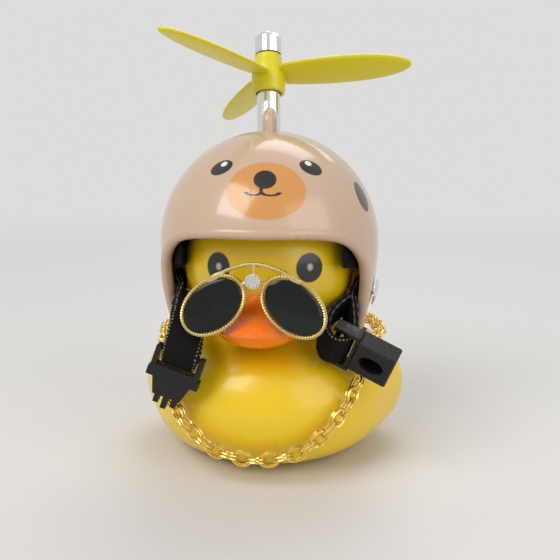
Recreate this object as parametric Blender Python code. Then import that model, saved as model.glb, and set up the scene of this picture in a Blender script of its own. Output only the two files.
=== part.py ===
"""Rubber duck with a bear-face helmet, a spinning propeller, sunglasses and a neck chain.

Metres, +Z up. The duck looks along -Y and its left side is +X.
The origin lies on the flat underside of the body, ahead of the squeaker.
"""
import math

import bmesh
import bpy
from mathutils import Matrix, Vector

# Clearance between neighbouring pieces.
GAP = 0.0003

# Duck: body, neck and head.
DUCK_WALL = 0.0025
BODY_HALF_WIDTH = 0.0390
BODY_FRONT = 0.0330
BODY_BACK = 0.0460
BELLY_HEIGHT = 0.0190
SHOULDER_RISE = 0.0230
BASE_ANGLE = -72.0
SHOULDER_ANGLE = 64.0
BELLY_FULLNESS = 0.5
SHOULDER_FULLNESS = 0.75
HEAD_RADIUS = 0.0262
HEAD_HALF_HEIGHT = 0.0270
HEAD_HEIGHT = 0.0600
NECK_ANGLE = -42.0
DUCK_SEGMENTS = 24

# Wings and tail.
WING_SWELL = 0.0040
WING_Y = 0.0190
WING_HEIGHT = 0.0230
WING_LENGTH = 0.0190
WING_DEPTH = 0.0120
WING_SLOPE = 0.35
TAIL_REACH = 0.0090
TAIL_RISE = 0.0100
TAIL_HEIGHT = 0.0310
TAIL_DEPTH = 0.0090
TAIL_HALF_WIDTH = 0.0130

# Beak.
BEAK_HALF_WIDTH = 0.0122
BEAK_REACH = 0.0110
BEAK_HEIGHT = 0.0450
BEAK_LOWER = 0.0050
BEAK_UPPER = 0.0115
BEAK_TAPER = 0.62
BEAK_LEAN = 0.45
BEAK_RIDGE = 0.35

# Squeaker, pressed into the underside.
SQUEAKER_RADIUS = 0.0060
SQUEAKER_Y = 0.0140
SQUEAKER_HOLE_RADIUS = 0.0010
SQUEAKER_RIM = 0.0015
SQUEAKER_RIM_THICKNESS = 0.0010
SQUEAKER_RECESS = 0.0005

# Helmet shell. Its own frame sits at the centre of the dome, leaned back.
SHELL_HALF_WIDTH = 0.0335
SHELL_HALF_DEPTH = 0.0350
SHELL_WALL = 0.0022
DOME_RISE = 0.0337
SKIRT_DROP = 0.0520
HELMET_CENTRE = (0.0, 0.0010, 0.0655)
HELMET_LEAN = 8.0
BEAD_RADIUS = 0.0017

# Rim of the shell: turn from the front in degrees, height in the helmet frame.
RIM = (
    (0.0, 0.0015), (20.0, 0.0017), (36.0, 0.0016), (48.0, 0.0004), (58.0, -0.0026),
    (66.0, -0.0070), (71.0, -0.0130), (74.0, -0.0190), (79.0, -0.0240), (88.0, -0.0262),
    (98.0, -0.0240), (108.0, -0.0190), (125.0, -0.0160), (150.0, -0.0150), (180.0, -0.0150),
)

# Hanging loop on the dome.
LOOP_Y = -0.0045
LOOP_HALF_SPAN = 0.0029
LOOP_RADIUS = 0.0018
LOOP_STAND = 0.0048

# Foam liner between the head and the shell.
LINER_FRONT_HALF_WIDTH = 0.0232
LINER_BOTTOM = -0.0076
LINER_BROW = 0.0080
LINER_PAD = 0.0040
LINER_FIT = 0.0008

# Post, cap and propeller, on one axis through the centre of the dome.
POST_LEAN = 16.5
POST_ROLL = -2.5
POST_RADIUS = 0.0037
STEM_RADIUS = 0.0018
STEM_HEAD_RADIUS = 0.0040
STEM_HEAD_THICKNESS = 0.0010
CROWN_SAG = 0.0006
SPINDLE_RADIUS = 0.0019
HUB_HEIGHT = 0.0125
HUB_BOTTOM = 0.0474
HUB_RADIUS = 0.0053
HUB_NECK_RADIUS = 0.0043
HUB_SOCKET_DEPTH = 0.0030
HUB_ROUNDING = 0.0003
HUB_EDGE = 0.0002
RUNNING_GAP = 0.0004
CAP_RADIUS = 0.0043
CAP_HEIGHT = 0.0074
CAP_BORE_DEPTH = 0.0042
CAP_CROWN = 0.6
BLADE_COUNT = 3
BLADE_REACH = 0.0450
BLADE_ROOT = 0.0036
BLADE_WIDEST = 0.0220
BLADE_CHORD = 0.0132
BLADE_THICKNESS = 0.0019
BLADE_SHOULDER = 0.0006
BLADE_ROUNDING = 0.0005
BLADE_STEPS = 9
BLADE_THINNEST = 0.45
BLADE_PITCH = 15.0
BLADE_TURN = -3.7

# Side rivets that hold the straps.
RIVET_HEIGHT = -0.0147
RIVET_HEAD_RADIUS = 0.0043
RIVET_HEAD_THICKNESS = 0.0012
RIVET_STEM_RADIUS = 0.0012
RIVET_CLINCH_RADIUS = 0.0024
RIVET_CLINCH_THICKNESS = 0.0008
RIVET_HOLE_TURN = 11.0

# Webbing straps.
STRAP_WIDTH = 0.0098
STRAP_THICKNESS = 0.0020
STRAP_TAIL = 0.0034
STRAP_SETBACK = 0.0008
STRAP_BOW = 0.0004

# Buckle halves.
BAR_RADIUS = 0.0008
SOCKET_LENGTH = 0.0117
SOCKET_WIDTH = 0.0103
SOCKET_THICKNESS = 0.0070
SOCKET_WALL = 0.0016
SOCKET_WINDOW_LONG = 0.0037
SOCKET_WINDOW_SHORT = 0.0024
CHEEK_THICKNESS = 0.0012
CHEEK_HEIGHT = 0.0042
PLUG_WIDTH = 0.0112
PLUG_THICKNESS = 0.0038
PLUG_NECK_LENGTH = 0.0052
PLUG_WING_LENGTH = 0.0026
PLUG_WING_SPAN = 0.0020
PLUG_BODY_LENGTH = 0.0050
PLUG_PRONG_LENGTH = 0.0036
PLUG_PRONG_WIDTH = 0.0016
PLUG_CHEEK = 0.0015
BAR_X = -0.0120
BAR_Y = -0.0008
SOCKET_PLACE = ((0.0325, -0.0255, 0.0362), (22.0, 24.0, -11.0))
PLUG_PLACE = ((-0.0208, -0.0322, 0.0379), (0.0, 20.0, 0.0))

# Loops of webbing. On the socket's side: X and Y in the socket's frame, round its bar.
SOCKET_LOOP = (
    (-0.0148, 0.0165), (-0.0160, 0.0130), (-0.0170, 0.0055), (-0.0157, -0.0012), (-0.0126, -0.0047),
    (-0.0092, -0.0030), (-0.0083, 0.0023), (-0.0110, 0.0095), (-0.0132, 0.0140),
)

# On the plug's side: points in the plug's frame, each with the way its width runs.
PLUG_LOOP = (
    ((-0.0054, 0.0165, 0.0086), (-0.73, -0.40, 0.53)), ((-0.0034, 0.0085, 0.0099), (-0.85, -0.35, 0.35)),
    ((-0.0012, 0.0008, 0.0076), (-0.95, -0.20, 0.15)), ((0.0, -0.0029, 0.0016), (-1.0, 0.0, 0.0)),
    ((0.0, 0.0001, -0.0031), (-1.0, 0.0, 0.0)), ((0.0, 0.0033, 0.0006), (-1.0, 0.0, 0.0)),
    ((-0.0016, 0.0062, 0.0046), (-0.95, -0.15, 0.15)), ((-0.0040, 0.0120, 0.0056), (-0.85, -0.30, 0.35)),
)

# Where that strap turns below the rivet, in the world, and the way its width runs.
STRAP_KNEE = ((-0.0258, -0.0086, 0.0493), (-0.15, -0.05, 0.98))

# Sunglasses.
GLASSES_CENTRE = (0.0, -0.0362, 0.0528)
GLASSES_NOD = -6.0
LENS_SPACING = 0.0108
LENS_HALF_LENGTH = 0.0096
LENS_HALF_HEIGHT = 0.0066
LENS_SLANT = 41.0
LENS_THICKNESS = 0.0010
LENS_SEAT = 0.00012
RIM_WIRE = 0.00058
BROW_RISE = 0.0112
BROW_HALF_SPAN = 0.0125
BROW_ENDS = 0.0068
CRYSTAL_RADIUS = 0.0021
CRYSTAL_HEIGHT = 0.0068
CRYSTAL_DEPTH = 0.0022
TEMPLE_TIP = (0.0266, -0.0130, 0.0570)
TEMPLE_BOW = 0.0022

# Neck chain: turn from the front in degrees, height in the world.
CHAIN_ROUTE = (
    (0.0, 0.0096), (16.0, 0.0115), (26.0, 0.0160), (36.0, 0.0220), (47.0, 0.0285),
    (60.0, 0.0325), (75.0, 0.0338), (90.0, 0.0335), (130.0, 0.0350), (180.0, 0.0370),
)
CHAIN_WIRE = 0.00029
CHAIN_LINK_WIDTH = 0.0046
CHAIN_PITCH = 0.0039
CHAIN_STANDOFF = 0.0033
CHAIN_FRONT_LINKS = 17
CHAIN_FLAT_TILT = 12.0
CHAIN_EDGE_TILT = 82.0
CHAIN_SLACK = 0.0008
CHAIN_BACK_STEPS = 4


def material(name, colour, roughness, metallic=0.0):
    """A Principled material for one sub-part."""
    made = bpy.data.materials.new(name)
    made.use_nodes = True
    shader = made.node_tree.nodes["Principled BSDF"]
    shader.inputs["Base Color"].default_value = (*colour, 1.0)
    shader.inputs["Roughness"].default_value = roughness
    shader.inputs["Metallic"].default_value = metallic
    return made


def piece(name, bm, finish, parent=None, matrix=None):
    """Turn a bmesh into a named, smooth-shaded object."""
    bmesh.ops.recalc_face_normals(bm, faces=bm.faces[:])
    mesh = bpy.data.meshes.new(name)
    bm.to_mesh(mesh)
    bm.free()
    mesh.shade_smooth()
    mesh.set_sharp_from_angle(angle=math.radians(40.0))
    made = bpy.data.objects.new(name, mesh)
    bpy.context.scene.collection.objects.link(made)
    if finish:
        mesh.materials.append(finish)
    if parent:
        made.parent = parent
    if matrix:
        made.matrix_local = matrix
    return made


def guide(name, bm, parent=None, matrix=None):
    """A shape that only cuts or joins others."""
    made = piece(name, bm, None, parent, matrix)
    made.hide_render = True
    made.display_type = "WIRE"
    return made


def combine(target, other, operation, solver="EXACT"):
    """Cut or join another object into the target."""
    boolean = target.modifiers.new(operation.title() + " " + other.name, "BOOLEAN")
    boolean.operation = operation
    boolean.solver = solver
    boolean.object = other


def frame(name, location, rotation, parent=None):
    """An empty that carries pieces."""
    made = bpy.data.objects.new(name, None)
    bpy.context.scene.collection.objects.link(made)
    made.parent = parent
    made.location = location
    made.rotation_mode = "XYZ"
    made.rotation_euler = [math.radians(angle) for angle in rotation]
    return made


def loft(rings, closed=False):
    """Skin a row of point rings; a ring of one point is a pole."""
    bm = bmesh.new()
    rows = [[bm.verts.new(point) for point in ring] for ring in rings]
    pairs = list(zip(rows, rows[1:]))
    if closed:
        pairs.append((rows[-1], rows[0]))
    for low, high in pairs:
        count = max(len(low), len(high))
        for index in range(count):
            after = (index + 1) % count
            corners = [low[index % len(low)], low[after % len(low)]]
            corners += [high[after % len(high)], high[index % len(high)]]
            bm.faces.new(list(dict.fromkeys(corners)))
    if not closed:
        for row in (rows[0], rows[-1]):
            if len(row) > 2:
                bm.faces.new(row)
    return bm


def smooth_path(points, per_span, closed=False):
    """Points on a Catmull-Rom curve through the given points."""
    points = [Vector(point) for point in points]
    count = len(points)
    spans = count if closed else count - 1
    made = []
    for span in range(spans):
        if closed:
            a, b, c, d = (points[(span + shift) % count] for shift in (-1, 0, 1, 2))
        else:
            a = points[max(span - 1, 0)]
            b = points[span]
            c = points[span + 1]
            d = points[min(span + 2, count - 1)]
        for step in range(per_span):
            t = step / per_span
            made.append(0.5 * (2 * b + (c - a) * t + (2 * a - 5 * b + 4 * c - d) * t * t
                               + (3 * b - a - 3 * c + d) * t ** 3))
    if not closed:
        made.append(points[-1])
    return made


def even_path(points, count):
    """Resample a closed path at even steps; returns the points and the step."""
    loop = points + [points[0]]
    lengths = [(b - a).length for a, b in zip(loop, loop[1:])]
    step = sum(lengths) / count
    made = []
    travelled = 0.0
    for start, end, length in zip(loop, loop[1:], lengths):
        while len(made) * step <= travelled + length - 1e-9 and len(made) < count:
            made.append(start.lerp(end, (len(made) * step - travelled) / length))
        travelled += length
    return made, step


def path_length(points):
    """Length of a closed path."""
    return sum((b - a).length for a, b in zip(points, points[1:] + points[:1]))


def circle(radius, count):
    """Corners of a circle in the XY plane."""
    turns = [2 * math.pi * index / count for index in range(count)]
    return [(radius * math.cos(turn), radius * math.sin(turn)) for turn in turns]


def tangents(points, closed):
    """Unit directions along a path."""
    count = len(points)
    made = []
    for index in range(count):
        if closed:
            before, after = points[index - 1], points[(index + 1) % count]
        else:
            before, after = points[max(index - 1, 0)], points[min(index + 1, count - 1)]
        made.append((after - before).normalized())
    return made


def tube(points, radius, sides, up, closed=False):
    """A round wire along a path; up keeps its section from twisting."""
    points = [Vector(point) for point in points]
    rings = []
    for point, along in zip(points, tangents(points, closed)):
        side = along.cross(Vector(up)).normalized()
        rise = side.cross(along)
        rings.append([point + side * x + rise * y for x, y in circle(radius, sides)])
    return loft(rings, closed)


def ribbon(points, widths, width, thickness, closed=False):
    """Flat webbing along a path; widths says which way its width runs at each point."""
    rings = []
    for point, along, across in zip(points, tangents(points, closed), widths):
        face = along.cross(across).normalized()
        across = face.cross(along).normalized()
        half = across * (width / 2)
        lift = face * (thickness / 2)
        rings.append([point + half + lift, point - half + lift, point - half - lift, point + half - lift])
    return loft(rings, closed)


def lathe(profile, steps):
    """Turn a closed outline of (radius, height) about Z; a zero radius is a pole."""
    rings = []
    for radius, height in profile:
        if radius:
            rings.append([(x, y, height) for x, y in circle(radius, steps)])
        else:
            rings.append([(0.0, 0.0, height)])
    return loft(rings, closed=all(radius for radius, _ in profile))


def box(size, centre=(0.0, 0.0, 0.0)):
    """A plain block."""
    bm = bmesh.new()
    bmesh.ops.create_cube(bm, size=1.0)
    bmesh.ops.scale(bm, vec=size, verts=bm.verts[:])
    bmesh.ops.translate(bm, vec=centre, verts=bm.verts[:])
    return bm


def soften(bm, width, segments=1):
    """Round the edges of a block."""
    bmesh.ops.bevel(bm, geom=bm.edges[:], offset=width, segments=segments, profile=0.5, affect="EDGES")
    return bm


def rod(radius, length, sides, matrix=None):
    """A cylinder about its own Z axis."""
    bm = bmesh.new()
    bmesh.ops.create_cone(bm, cap_ends=True, segments=sides, radius1=radius, radius2=radius,
                          depth=length, matrix=matrix or Matrix())
    return bm


def duck_sections(inset):
    """Height, half width, middle and half depth of the duck, from the base to the crown."""
    middle = (BODY_BACK - BODY_FRONT) / 2
    half_depth = (BODY_BACK + BODY_FRONT) / 2
    drop = (BELLY_HEIGHT - inset) / math.sin(math.radians(BASE_ANGLE))
    sections = []
    for angle in (BASE_ANGLE, -55.0, -36.0, -16.0, 6.0, 26.0, 43.0, SHOULDER_ANGLE):
        turn = math.radians(angle)
        fullness = BELLY_FULLNESS if angle < 0 else SHOULDER_FULLNESS
        spread = math.cos(turn) ** fullness
        reach = abs(drop) if angle < 0 else SHOULDER_RISE
        sections.append((BELLY_HEIGHT + reach * math.sin(turn), spread * BODY_HALF_WIDTH - inset,
                         middle, spread * half_depth - inset))
    for angle in (NECK_ANGLE, -18.0, 6.0, 30.0, 48.0, 64.0, 78.0):
        turn = math.radians(angle)
        radius = (HEAD_RADIUS - inset) * math.cos(turn)
        sections.append((HEAD_HEIGHT + (HEAD_HALF_HEIGHT - inset) * math.sin(turn), radius, 0.0, radius))
    return sections


def section_rings(inset, per_span):
    """Smoothed sections as (height, half width, middle, half depth)."""
    sections = duck_sections(inset)
    rows = smooth_path([section[:3] for section in sections], per_span)
    depths = smooth_path([(section[3], 0.0, 0.0) for section in sections], per_span)
    return [(row[0], row[1], row[2], depth[0]) for row, depth in zip(rows, depths)]


def ring_points(section, count):
    """Points round one section of the duck."""
    height, half_width, middle, half_depth = section
    return [Vector((half_width * x, middle + half_depth * y, height)) for x, y in circle(1.0, count)]


def fade(value, low, high):
    """A smooth step from 0 to 1."""
    t = min(max((value - low) / (high - low), 0.0), 1.0)
    return t * t * (3 - 2 * t)


def swell(point):
    """Add the wings and the tail to a point of the plain body."""
    side = fade(abs(point.x), 0.5 * BODY_HALF_WIDTH, 0.95 * BODY_HALF_WIDTH)
    along = (point.y - WING_Y) / WING_LENGTH
    up = (point.z - WING_HEIGHT - WING_SLOPE * (point.y - WING_Y)) / WING_DEPTH
    wing = WING_SWELL * side * math.exp(-along ** 4 - up ** 4)
    back = fade(point.y, 0.3 * BODY_BACK, 0.95 * BODY_BACK)
    lift = ((point.z - TAIL_HEIGHT) / TAIL_DEPTH) ** 2 + (point.x / TAIL_HALF_WIDTH) ** 2
    tail = back * math.exp(-lift)
    return point + Vector((math.copysign(wing, point.x), TAIL_REACH * tail, TAIL_RISE * tail))


def duck_surface(turn, height, standoff):
    """A point off the duck's side at a turn from the front."""
    rows = section_rings(0.0, 8)
    below = max((row for row in rows if row[0] <= height), key=lambda row: row[0])
    above = min((row for row in rows if row[0] > height), key=lambda row: row[0])
    t = (height - below[0]) / (above[0] - below[0])
    half_width, middle, half_depth = (below[i] + t * (above[i] - below[i]) for i in (1, 2, 3))
    x, y = math.sin(turn), -math.cos(turn)
    slope = (above[1] - below[1]) / (above[0] - below[0])
    outward = Vector((x / half_width, y / half_depth, 0.0)).normalized()
    outward = Vector((outward.x, outward.y, -slope)).normalized()
    return swell(Vector((half_width * x, middle + half_depth * y, height))) + outward * standoff


def make_beak():
    """A rounded wedge that rises to a point between the lenses."""
    bm = bmesh.new()
    bmesh.ops.create_uvsphere(bm, u_segments=20, v_segments=12, radius=1.0)
    root = math.sqrt(HEAD_RADIUS ** 2 - BEAK_HALF_WIDTH ** 2)
    for vert in bm.verts:
        x, y, z = vert.co
        rise = BEAK_UPPER if z > 0 else BEAK_LOWER
        narrow = 1.0 - BEAK_TAPER * max(z, 0.0)
        reach = BEAK_REACH + HEAD_RADIUS - root if y < 0 else DUCK_WALL / 2
        lean = BEAK_LEAN * BEAK_REACH * max(z, 0.0) if y < 0 else 0.0
        forward = y * reach * (1.0 - BEAK_RIDGE * max(z, 0.0)) + lean
        vert.co = (x * BEAK_HALF_WIDTH * narrow, forward - root, BEAK_HEIGHT + z * rise)
    return bm


def build_duck():
    """The hollow vinyl body with head, beak, wings and tail, and the squeaker in its base."""
    vinyl = material("duck_vinyl", (0.80, 0.60, 0.01), 0.35)
    orange = material("beak_orange", (0.90, 0.20, 0.01), 0.30)
    hole = [(SQUEAKER_RADIUS * x, SQUEAKER_Y + SQUEAKER_RADIUS * y) for x, y in circle(1.0, DUCK_SEGMENTS)]
    outer = [[swell(point) for point in ring_points(row, DUCK_SEGMENTS)] for row in section_rings(0.0, 2)]
    inner = [ring_points(row, DUCK_SEGMENTS) for row in section_rings(DUCK_WALL, 1)]
    crown = [[Vector((0.0, 0.0, HEAD_HEIGHT + HEAD_HALF_HEIGHT))]]
    ceiling = [[Vector((0.0, 0.0, HEAD_HEIGHT + HEAD_HALF_HEIGHT - DUCK_WALL))]]
    rows = ceiling + inner[::-1] + [[Vector((x, y, DUCK_WALL)) for x, y in hole]]
    rows += [[Vector((x, y, 0.0)) for x, y in hole]] + outer + crown
    duck = piece("duck_body", loft(rows), vinyl)
    beak = guide("beak_form", make_beak())
    beak.data.materials.append(orange)
    combine(duck, beak, "UNION", "MANIFOLD")
    build_squeaker()
    return duck


def build_squeaker():
    """A small spool with a sounding hole, seated in the hole of the underside."""
    tin = material("squeaker_plastic", (0.75, 0.75, 0.72), 0.4)
    barrel = SQUEAKER_RADIUS - GAP
    top = DUCK_WALL + GAP
    profile = [
        (SQUEAKER_HOLE_RADIUS, SQUEAKER_RECESS), (barrel, SQUEAKER_RECESS), (barrel, top),
        (SQUEAKER_RADIUS + SQUEAKER_RIM, top), (SQUEAKER_RADIUS + SQUEAKER_RIM, top + SQUEAKER_RIM_THICKNESS),
        (SQUEAKER_HOLE_RADIUS, top + SQUEAKER_RIM_THICKNESS),
    ]
    piece("squeaker", lathe(profile, 20), tin, matrix=Matrix.Translation((0.0, SQUEAKER_Y, 0.0)))


def shell_point(turn, height, inset):
    """A point of the helmet's wall in the helmet frame; turn is measured from the front."""
    reach = (DOME_RISE if height >= 0 else SKIRT_DROP) - inset
    share = math.sqrt(1.0 - (height / reach) ** 2)
    return Vector(((SHELL_HALF_WIDTH - inset) * share * math.sin(turn),
                   -(SHELL_HALF_DEPTH - inset) * share * math.cos(turn), height))


def dome(inset, segments, rings):
    """The helmet's whole egg shape, before the face and the underside are cut away."""
    bm = bmesh.new()
    bmesh.ops.create_uvsphere(bm, u_segments=segments, v_segments=rings, radius=1.0)
    for vert in bm.verts:
        reach = (DOME_RISE if vert.co.z >= 0 else SKIRT_DROP) - inset
        vert.co = (vert.co.x * (SHELL_HALF_WIDTH - inset), vert.co.y * (SHELL_HALF_DEPTH - inset),
                   vert.co.z * reach)
    return bm


def rim_path():
    """The closed edge of the shell, at the middle of its wall."""
    right = [(math.radians(turn), height) for turn, height in RIM]
    left = [(-turn, height) for turn, height in right[-2:0:-1]]
    points = [shell_point(turn, height, SHELL_WALL / 2) for turn, height in right + left]
    return smooth_path(points, 2, closed=True)


def rim_cutter(path):
    """A cone from the middle of the helmet through its rim, closed below."""
    spread = 1.7
    return loft([[(0.0, 0.0, 0.0)], [point * spread for point in path], [(0.0, 0.0, -spread * SKIRT_DROP)]])


def hanging_loop():
    """The small arch on the dome, as a bent bar with both feet in the wall."""
    crown = shell_point(0.0, 0.0, SHELL_WALL / 2)
    span = LOOP_HALF_SPAN
    feet = [LOOP_Y - span, LOOP_Y + span]
    floor = [(DOME_RISE - SHELL_WALL / 2) * math.sqrt(1.0 - (foot / crown.y) ** 2) for foot in feet]
    springing = DOME_RISE + LOOP_STAND - span
    arc = [math.pi * step / 8 for step in range(9)]
    points = [(0.0, feet[0], floor[0])]
    points += [(0.0, LOOP_Y - span * math.cos(a), springing + span * math.sin(a)) for a in arc]
    points += [(0.0, feet[1], floor[1])]
    return tube(points, LOOP_RADIUS, 10, up=(1.0, 0.0, 0.0))


def rivet_frame(side):
    """Place and direction of a side rivet in the helmet frame, Z outwards."""
    point = shell_point(side * math.pi / 2, RIVET_HEIGHT, 0.0)
    outward = Vector((point.x / SHELL_HALF_WIDTH ** 2, 0.0, point.z / SKIRT_DROP ** 2)).normalized()
    return Matrix.Translation(point) @ outward.to_track_quat("Z", "Y").to_matrix().to_4x4()


def post_reach():
    """Distance from the middle of the helmet to the outside of its wall, along the post."""
    lean = math.radians(POST_LEAN - HELMET_LEAN)
    return 1.0 / math.hypot(math.sin(lean) / SHELL_HALF_DEPTH, math.cos(lean) / DOME_RISE)


def build_helmet(helmet, axle):
    """The moulded shell with its rolled rim and hanging loop, and the foam inside it."""
    plastic = material("helmet_plastic", (0.58, 0.42, 0.30), 0.25)
    foam = material("liner_foam", (0.015, 0.014, 0.013), 0.9)
    shell = piece("helmet_shell", dome(0.0, 36, 20), plastic, helmet)
    path = rim_path()
    combine(shell, guide("shell_inside", dome(SHELL_WALL, 28, 16), helmet), "DIFFERENCE")
    combine(shell, guide("shell_opening", rim_cutter(path), helmet), "DIFFERENCE")
    bead = tube(path, BEAD_RADIUS, 7, up=(0.0, 0.1, 1.0), closed=True)
    combine(shell, guide("rim_bead", bead, helmet), "UNION")
    combine(shell, guide("loop_form", hanging_loop(), helmet), "UNION", "MANIFOLD")
    stem_hole = rod(STEM_RADIUS + GAP, 4 * SHELL_WALL, 16, Matrix.Translation((0.0, 0.0, post_reach())))
    combine(shell, guide("stem_hole", stem_hole, axle), "DIFFERENCE")
    for side, word in ((1, "left"), (-1, "right")):
        hole = rod(RIVET_STEM_RADIUS + GAP, 4 * SHELL_WALL, 12)
        place = rivet_frame(side) @ Matrix.Rotation(math.radians(side * RIVET_HOLE_TURN), 4, "Z")
        combine(shell, guide("rivet_hole_" + word, hole, helmet, place), "DIFFERENCE", "MANIFOLD")
    build_liner(helmet, axle, foam)


def build_liner(helmet, axle, foam):
    """A foam cap that fills the room between the head and the shell."""
    liner = piece("helmet_liner", dome(SHELL_WALL + LINER_FIT, 28, 16), foam, helmet)
    head = bmesh.new()
    bmesh.ops.create_uvsphere(head, u_segments=24, v_segments=14, radius=1.0)
    room = HEAD_RADIUS + LINER_FIT
    bmesh.ops.scale(head, vec=(room, room, HEAD_HALF_HEIGHT + LINER_FIT), verts=head.verts[:])
    head_form = guide("head_form", head, matrix=Matrix.Translation((0.0, 0.0, HEAD_HEIGHT)))
    combine(liner, head_form, "DIFFERENCE")
    width = 2 * SHELL_HALF_WIDTH
    front = box((2 * LINER_FRONT_HALF_WIDTH, width, width), (0.0, -width / 2, LINER_BROW - width / 2))
    combine(liner, guide("liner_front", front, helmet), "DIFFERENCE")
    below = box((2 * width, 2 * width, 2 * width), (0.0, 0.0, LINER_BOTTOM - width))
    combine(liner, guide("liner_below", below, helmet), "DIFFERENCE")
    bead_room = tube(rim_path(), BEAD_RADIUS + LINER_FIT, 6, up=(0.0, 0.1, 1.0), closed=True)
    combine(liner, guide("liner_bead_room", bead_room, helmet), "DIFFERENCE", "MANIFOLD")
    head_room = rod(STEM_HEAD_RADIUS + GAP, LINER_PAD + 2 * CROWN_SAG, 16,
                    Matrix.Translation((0.0, 0.0, post_reach() - SHELL_WALL)))
    combine(liner, guide("liner_recess", head_room, axle), "DIFFERENCE")


def build_post(axle):
    """The chrome post with its stem through the shell, its spindle, and the cap on top."""
    chrome = material("chrome", (0.80, 0.80, 0.82), 0.08, 1.0)
    seat = post_reach() + GAP
    stem_bottom = post_reach() - SHELL_WALL - CROWN_SAG
    shoulder = HUB_BOTTOM + HUB_SOCKET_DEPTH - GAP
    hub_top = HUB_BOTTOM + HUB_HEIGHT
    cap_bottom = hub_top + GAP
    spindle_top = cap_bottom + CAP_BORE_DEPTH - GAP
    post = [
        (0.0, stem_bottom - STEM_HEAD_THICKNESS), (STEM_HEAD_RADIUS, stem_bottom - STEM_HEAD_THICKNESS),
        (STEM_HEAD_RADIUS, stem_bottom), (STEM_RADIUS, stem_bottom), (STEM_RADIUS, seat),
        (POST_RADIUS, seat), (POST_RADIUS, shoulder), (SPINDLE_RADIUS, shoulder),
        (SPINDLE_RADIUS, spindle_top), (0.0, spindle_top),
    ]
    piece("propeller_post", lathe(post, 24), chrome, axle)
    bore = SPINDLE_RADIUS + GAP
    shoulder_arc = [math.radians(angle) for angle in (10.0, 30.0, 50.0, 70.0)]
    crown = CAP_CROWN * CAP_RADIUS
    shoulder_foot = cap_bottom + CAP_HEIGHT - crown
    cap = [(0.0, cap_bottom + CAP_BORE_DEPTH), (bore, cap_bottom + CAP_BORE_DEPTH), (bore, cap_bottom),
           (CAP_RADIUS, cap_bottom)]
    cap += [(CAP_RADIUS * math.cos(a), shoulder_foot + crown * math.sin(a)) for a in shoulder_arc]
    cap += [(0.0, cap_bottom + CAP_HEIGHT)]
    piece("post_cap", lathe(cap, 24), chrome, axle)


def blade_chord(reach):
    """Chord of a blade at a distance from the axis: a paddle, widest at mid span."""
    if reach < BLADE_WIDEST:
        share = 1.0 - 0.25 * ((BLADE_WIDEST - reach) / (BLADE_WIDEST - BLADE_ROOT)) ** 2
    else:
        share = math.sqrt(max(1.0 - ((reach - BLADE_WIDEST) / (BLADE_REACH - BLADE_WIDEST)) ** 2.4, 0.0))
    return BLADE_CHORD * share


def make_blade():
    """One pitched blade along +X, with both ends closed to a point."""
    rings = [[(BLADE_ROOT, 0.0, 0.0)]]
    pitch = math.radians(BLADE_PITCH)
    start = BLADE_ROOT + BLADE_SHOULDER
    shares = [math.cos(math.pi / 2 * step / BLADE_STEPS) for step in range(BLADE_STEPS - 1, 0, -1)]
    spans = [start + (BLADE_REACH - start) * share for share in shares]
    for reach in [BLADE_ROOT + BLADE_ROUNDING] + spans:
        half = blade_chord(reach) / 2
        thick = BLADE_THICKNESS / 2 * (BLADE_THINNEST + 1.5 * half / BLADE_CHORD)
        ring = []
        for x, y in circle(1.0, 10):
            chordwise, lift = half * x, thick * y
            ring.append((reach, chordwise * math.cos(pitch) + lift * math.sin(pitch),
                         lift * math.cos(pitch) - chordwise * math.sin(pitch)))
        rings.append(ring)
    rings.append([(BLADE_REACH, 0.0, 0.0)])
    return loft(rings)


def build_propeller(axle):
    """Hub and three blades, one moulding that spins on the spindle."""
    lemon = material("propeller_plastic", (0.78, 0.70, 0.02), 0.4)
    bore = SPINDLE_RADIUS + RUNNING_GAP
    socket = POST_RADIUS + RUNNING_GAP
    base = -HUB_HEIGHT / 2
    ledge = base + HUB_SOCKET_DEPTH
    waist = 0.5 * (HUB_RADIUS + HUB_NECK_RADIUS) + HUB_ROUNDING
    profile = [
        (bore, ledge), (socket, ledge), (socket, base), (HUB_RADIUS - HUB_ROUNDING, base),
        (HUB_RADIUS, base + 0.08 * HUB_HEIGHT), (HUB_RADIUS, base + 0.55 * HUB_HEIGHT),
        (waist, base + 0.80 * HUB_HEIGHT), (HUB_NECK_RADIUS, base + 0.90 * HUB_HEIGHT),
        (HUB_NECK_RADIUS - HUB_EDGE, base + HUB_HEIGHT), (bore, base + HUB_HEIGHT),
    ]
    spin = frame("propeller_axis", (0.0, 0.0, HUB_BOTTOM + HUB_HEIGHT / 2), (0.0, 0.0, BLADE_TURN), axle)
    hub = piece("propeller", lathe(profile, 24), lemon, spin)
    for index in range(BLADE_COUNT):
        turn = Matrix.Rotation(2 * math.pi * index / BLADE_COUNT, 4, "Z")
        combine(hub, guide("blade_form_%d" % (index + 1), make_blade(), spin, turn), "UNION")


def build_rivets(helmet):
    """A domed rivet on each side, clinched inside the strap."""
    chrome = material("rivet_chrome", (0.80, 0.80, 0.80), 0.12, 1.0)
    clinch = -(SHELL_WALL + STRAP_SETBACK + STRAP_THICKNESS + 2 * GAP)
    profile = [
        (0.0, clinch - RIVET_CLINCH_THICKNESS), (RIVET_CLINCH_RADIUS, clinch - RIVET_CLINCH_THICKNESS),
        (RIVET_CLINCH_RADIUS, clinch), (RIVET_STEM_RADIUS, clinch), (RIVET_STEM_RADIUS, GAP),
        (RIVET_HEAD_RADIUS, GAP), (RIVET_HEAD_RADIUS, GAP + 0.4 * RIVET_HEAD_THICKNESS),
        (0.7 * RIVET_HEAD_RADIUS, GAP + 0.85 * RIVET_HEAD_THICKNESS), (0.0, GAP + RIVET_HEAD_THICKNESS),
    ]
    for side, word in ((1, "left"), (-1, "right")):
        piece("rivet_" + word, lathe(profile, 18), chrome, helmet, rivet_frame(side))


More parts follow.
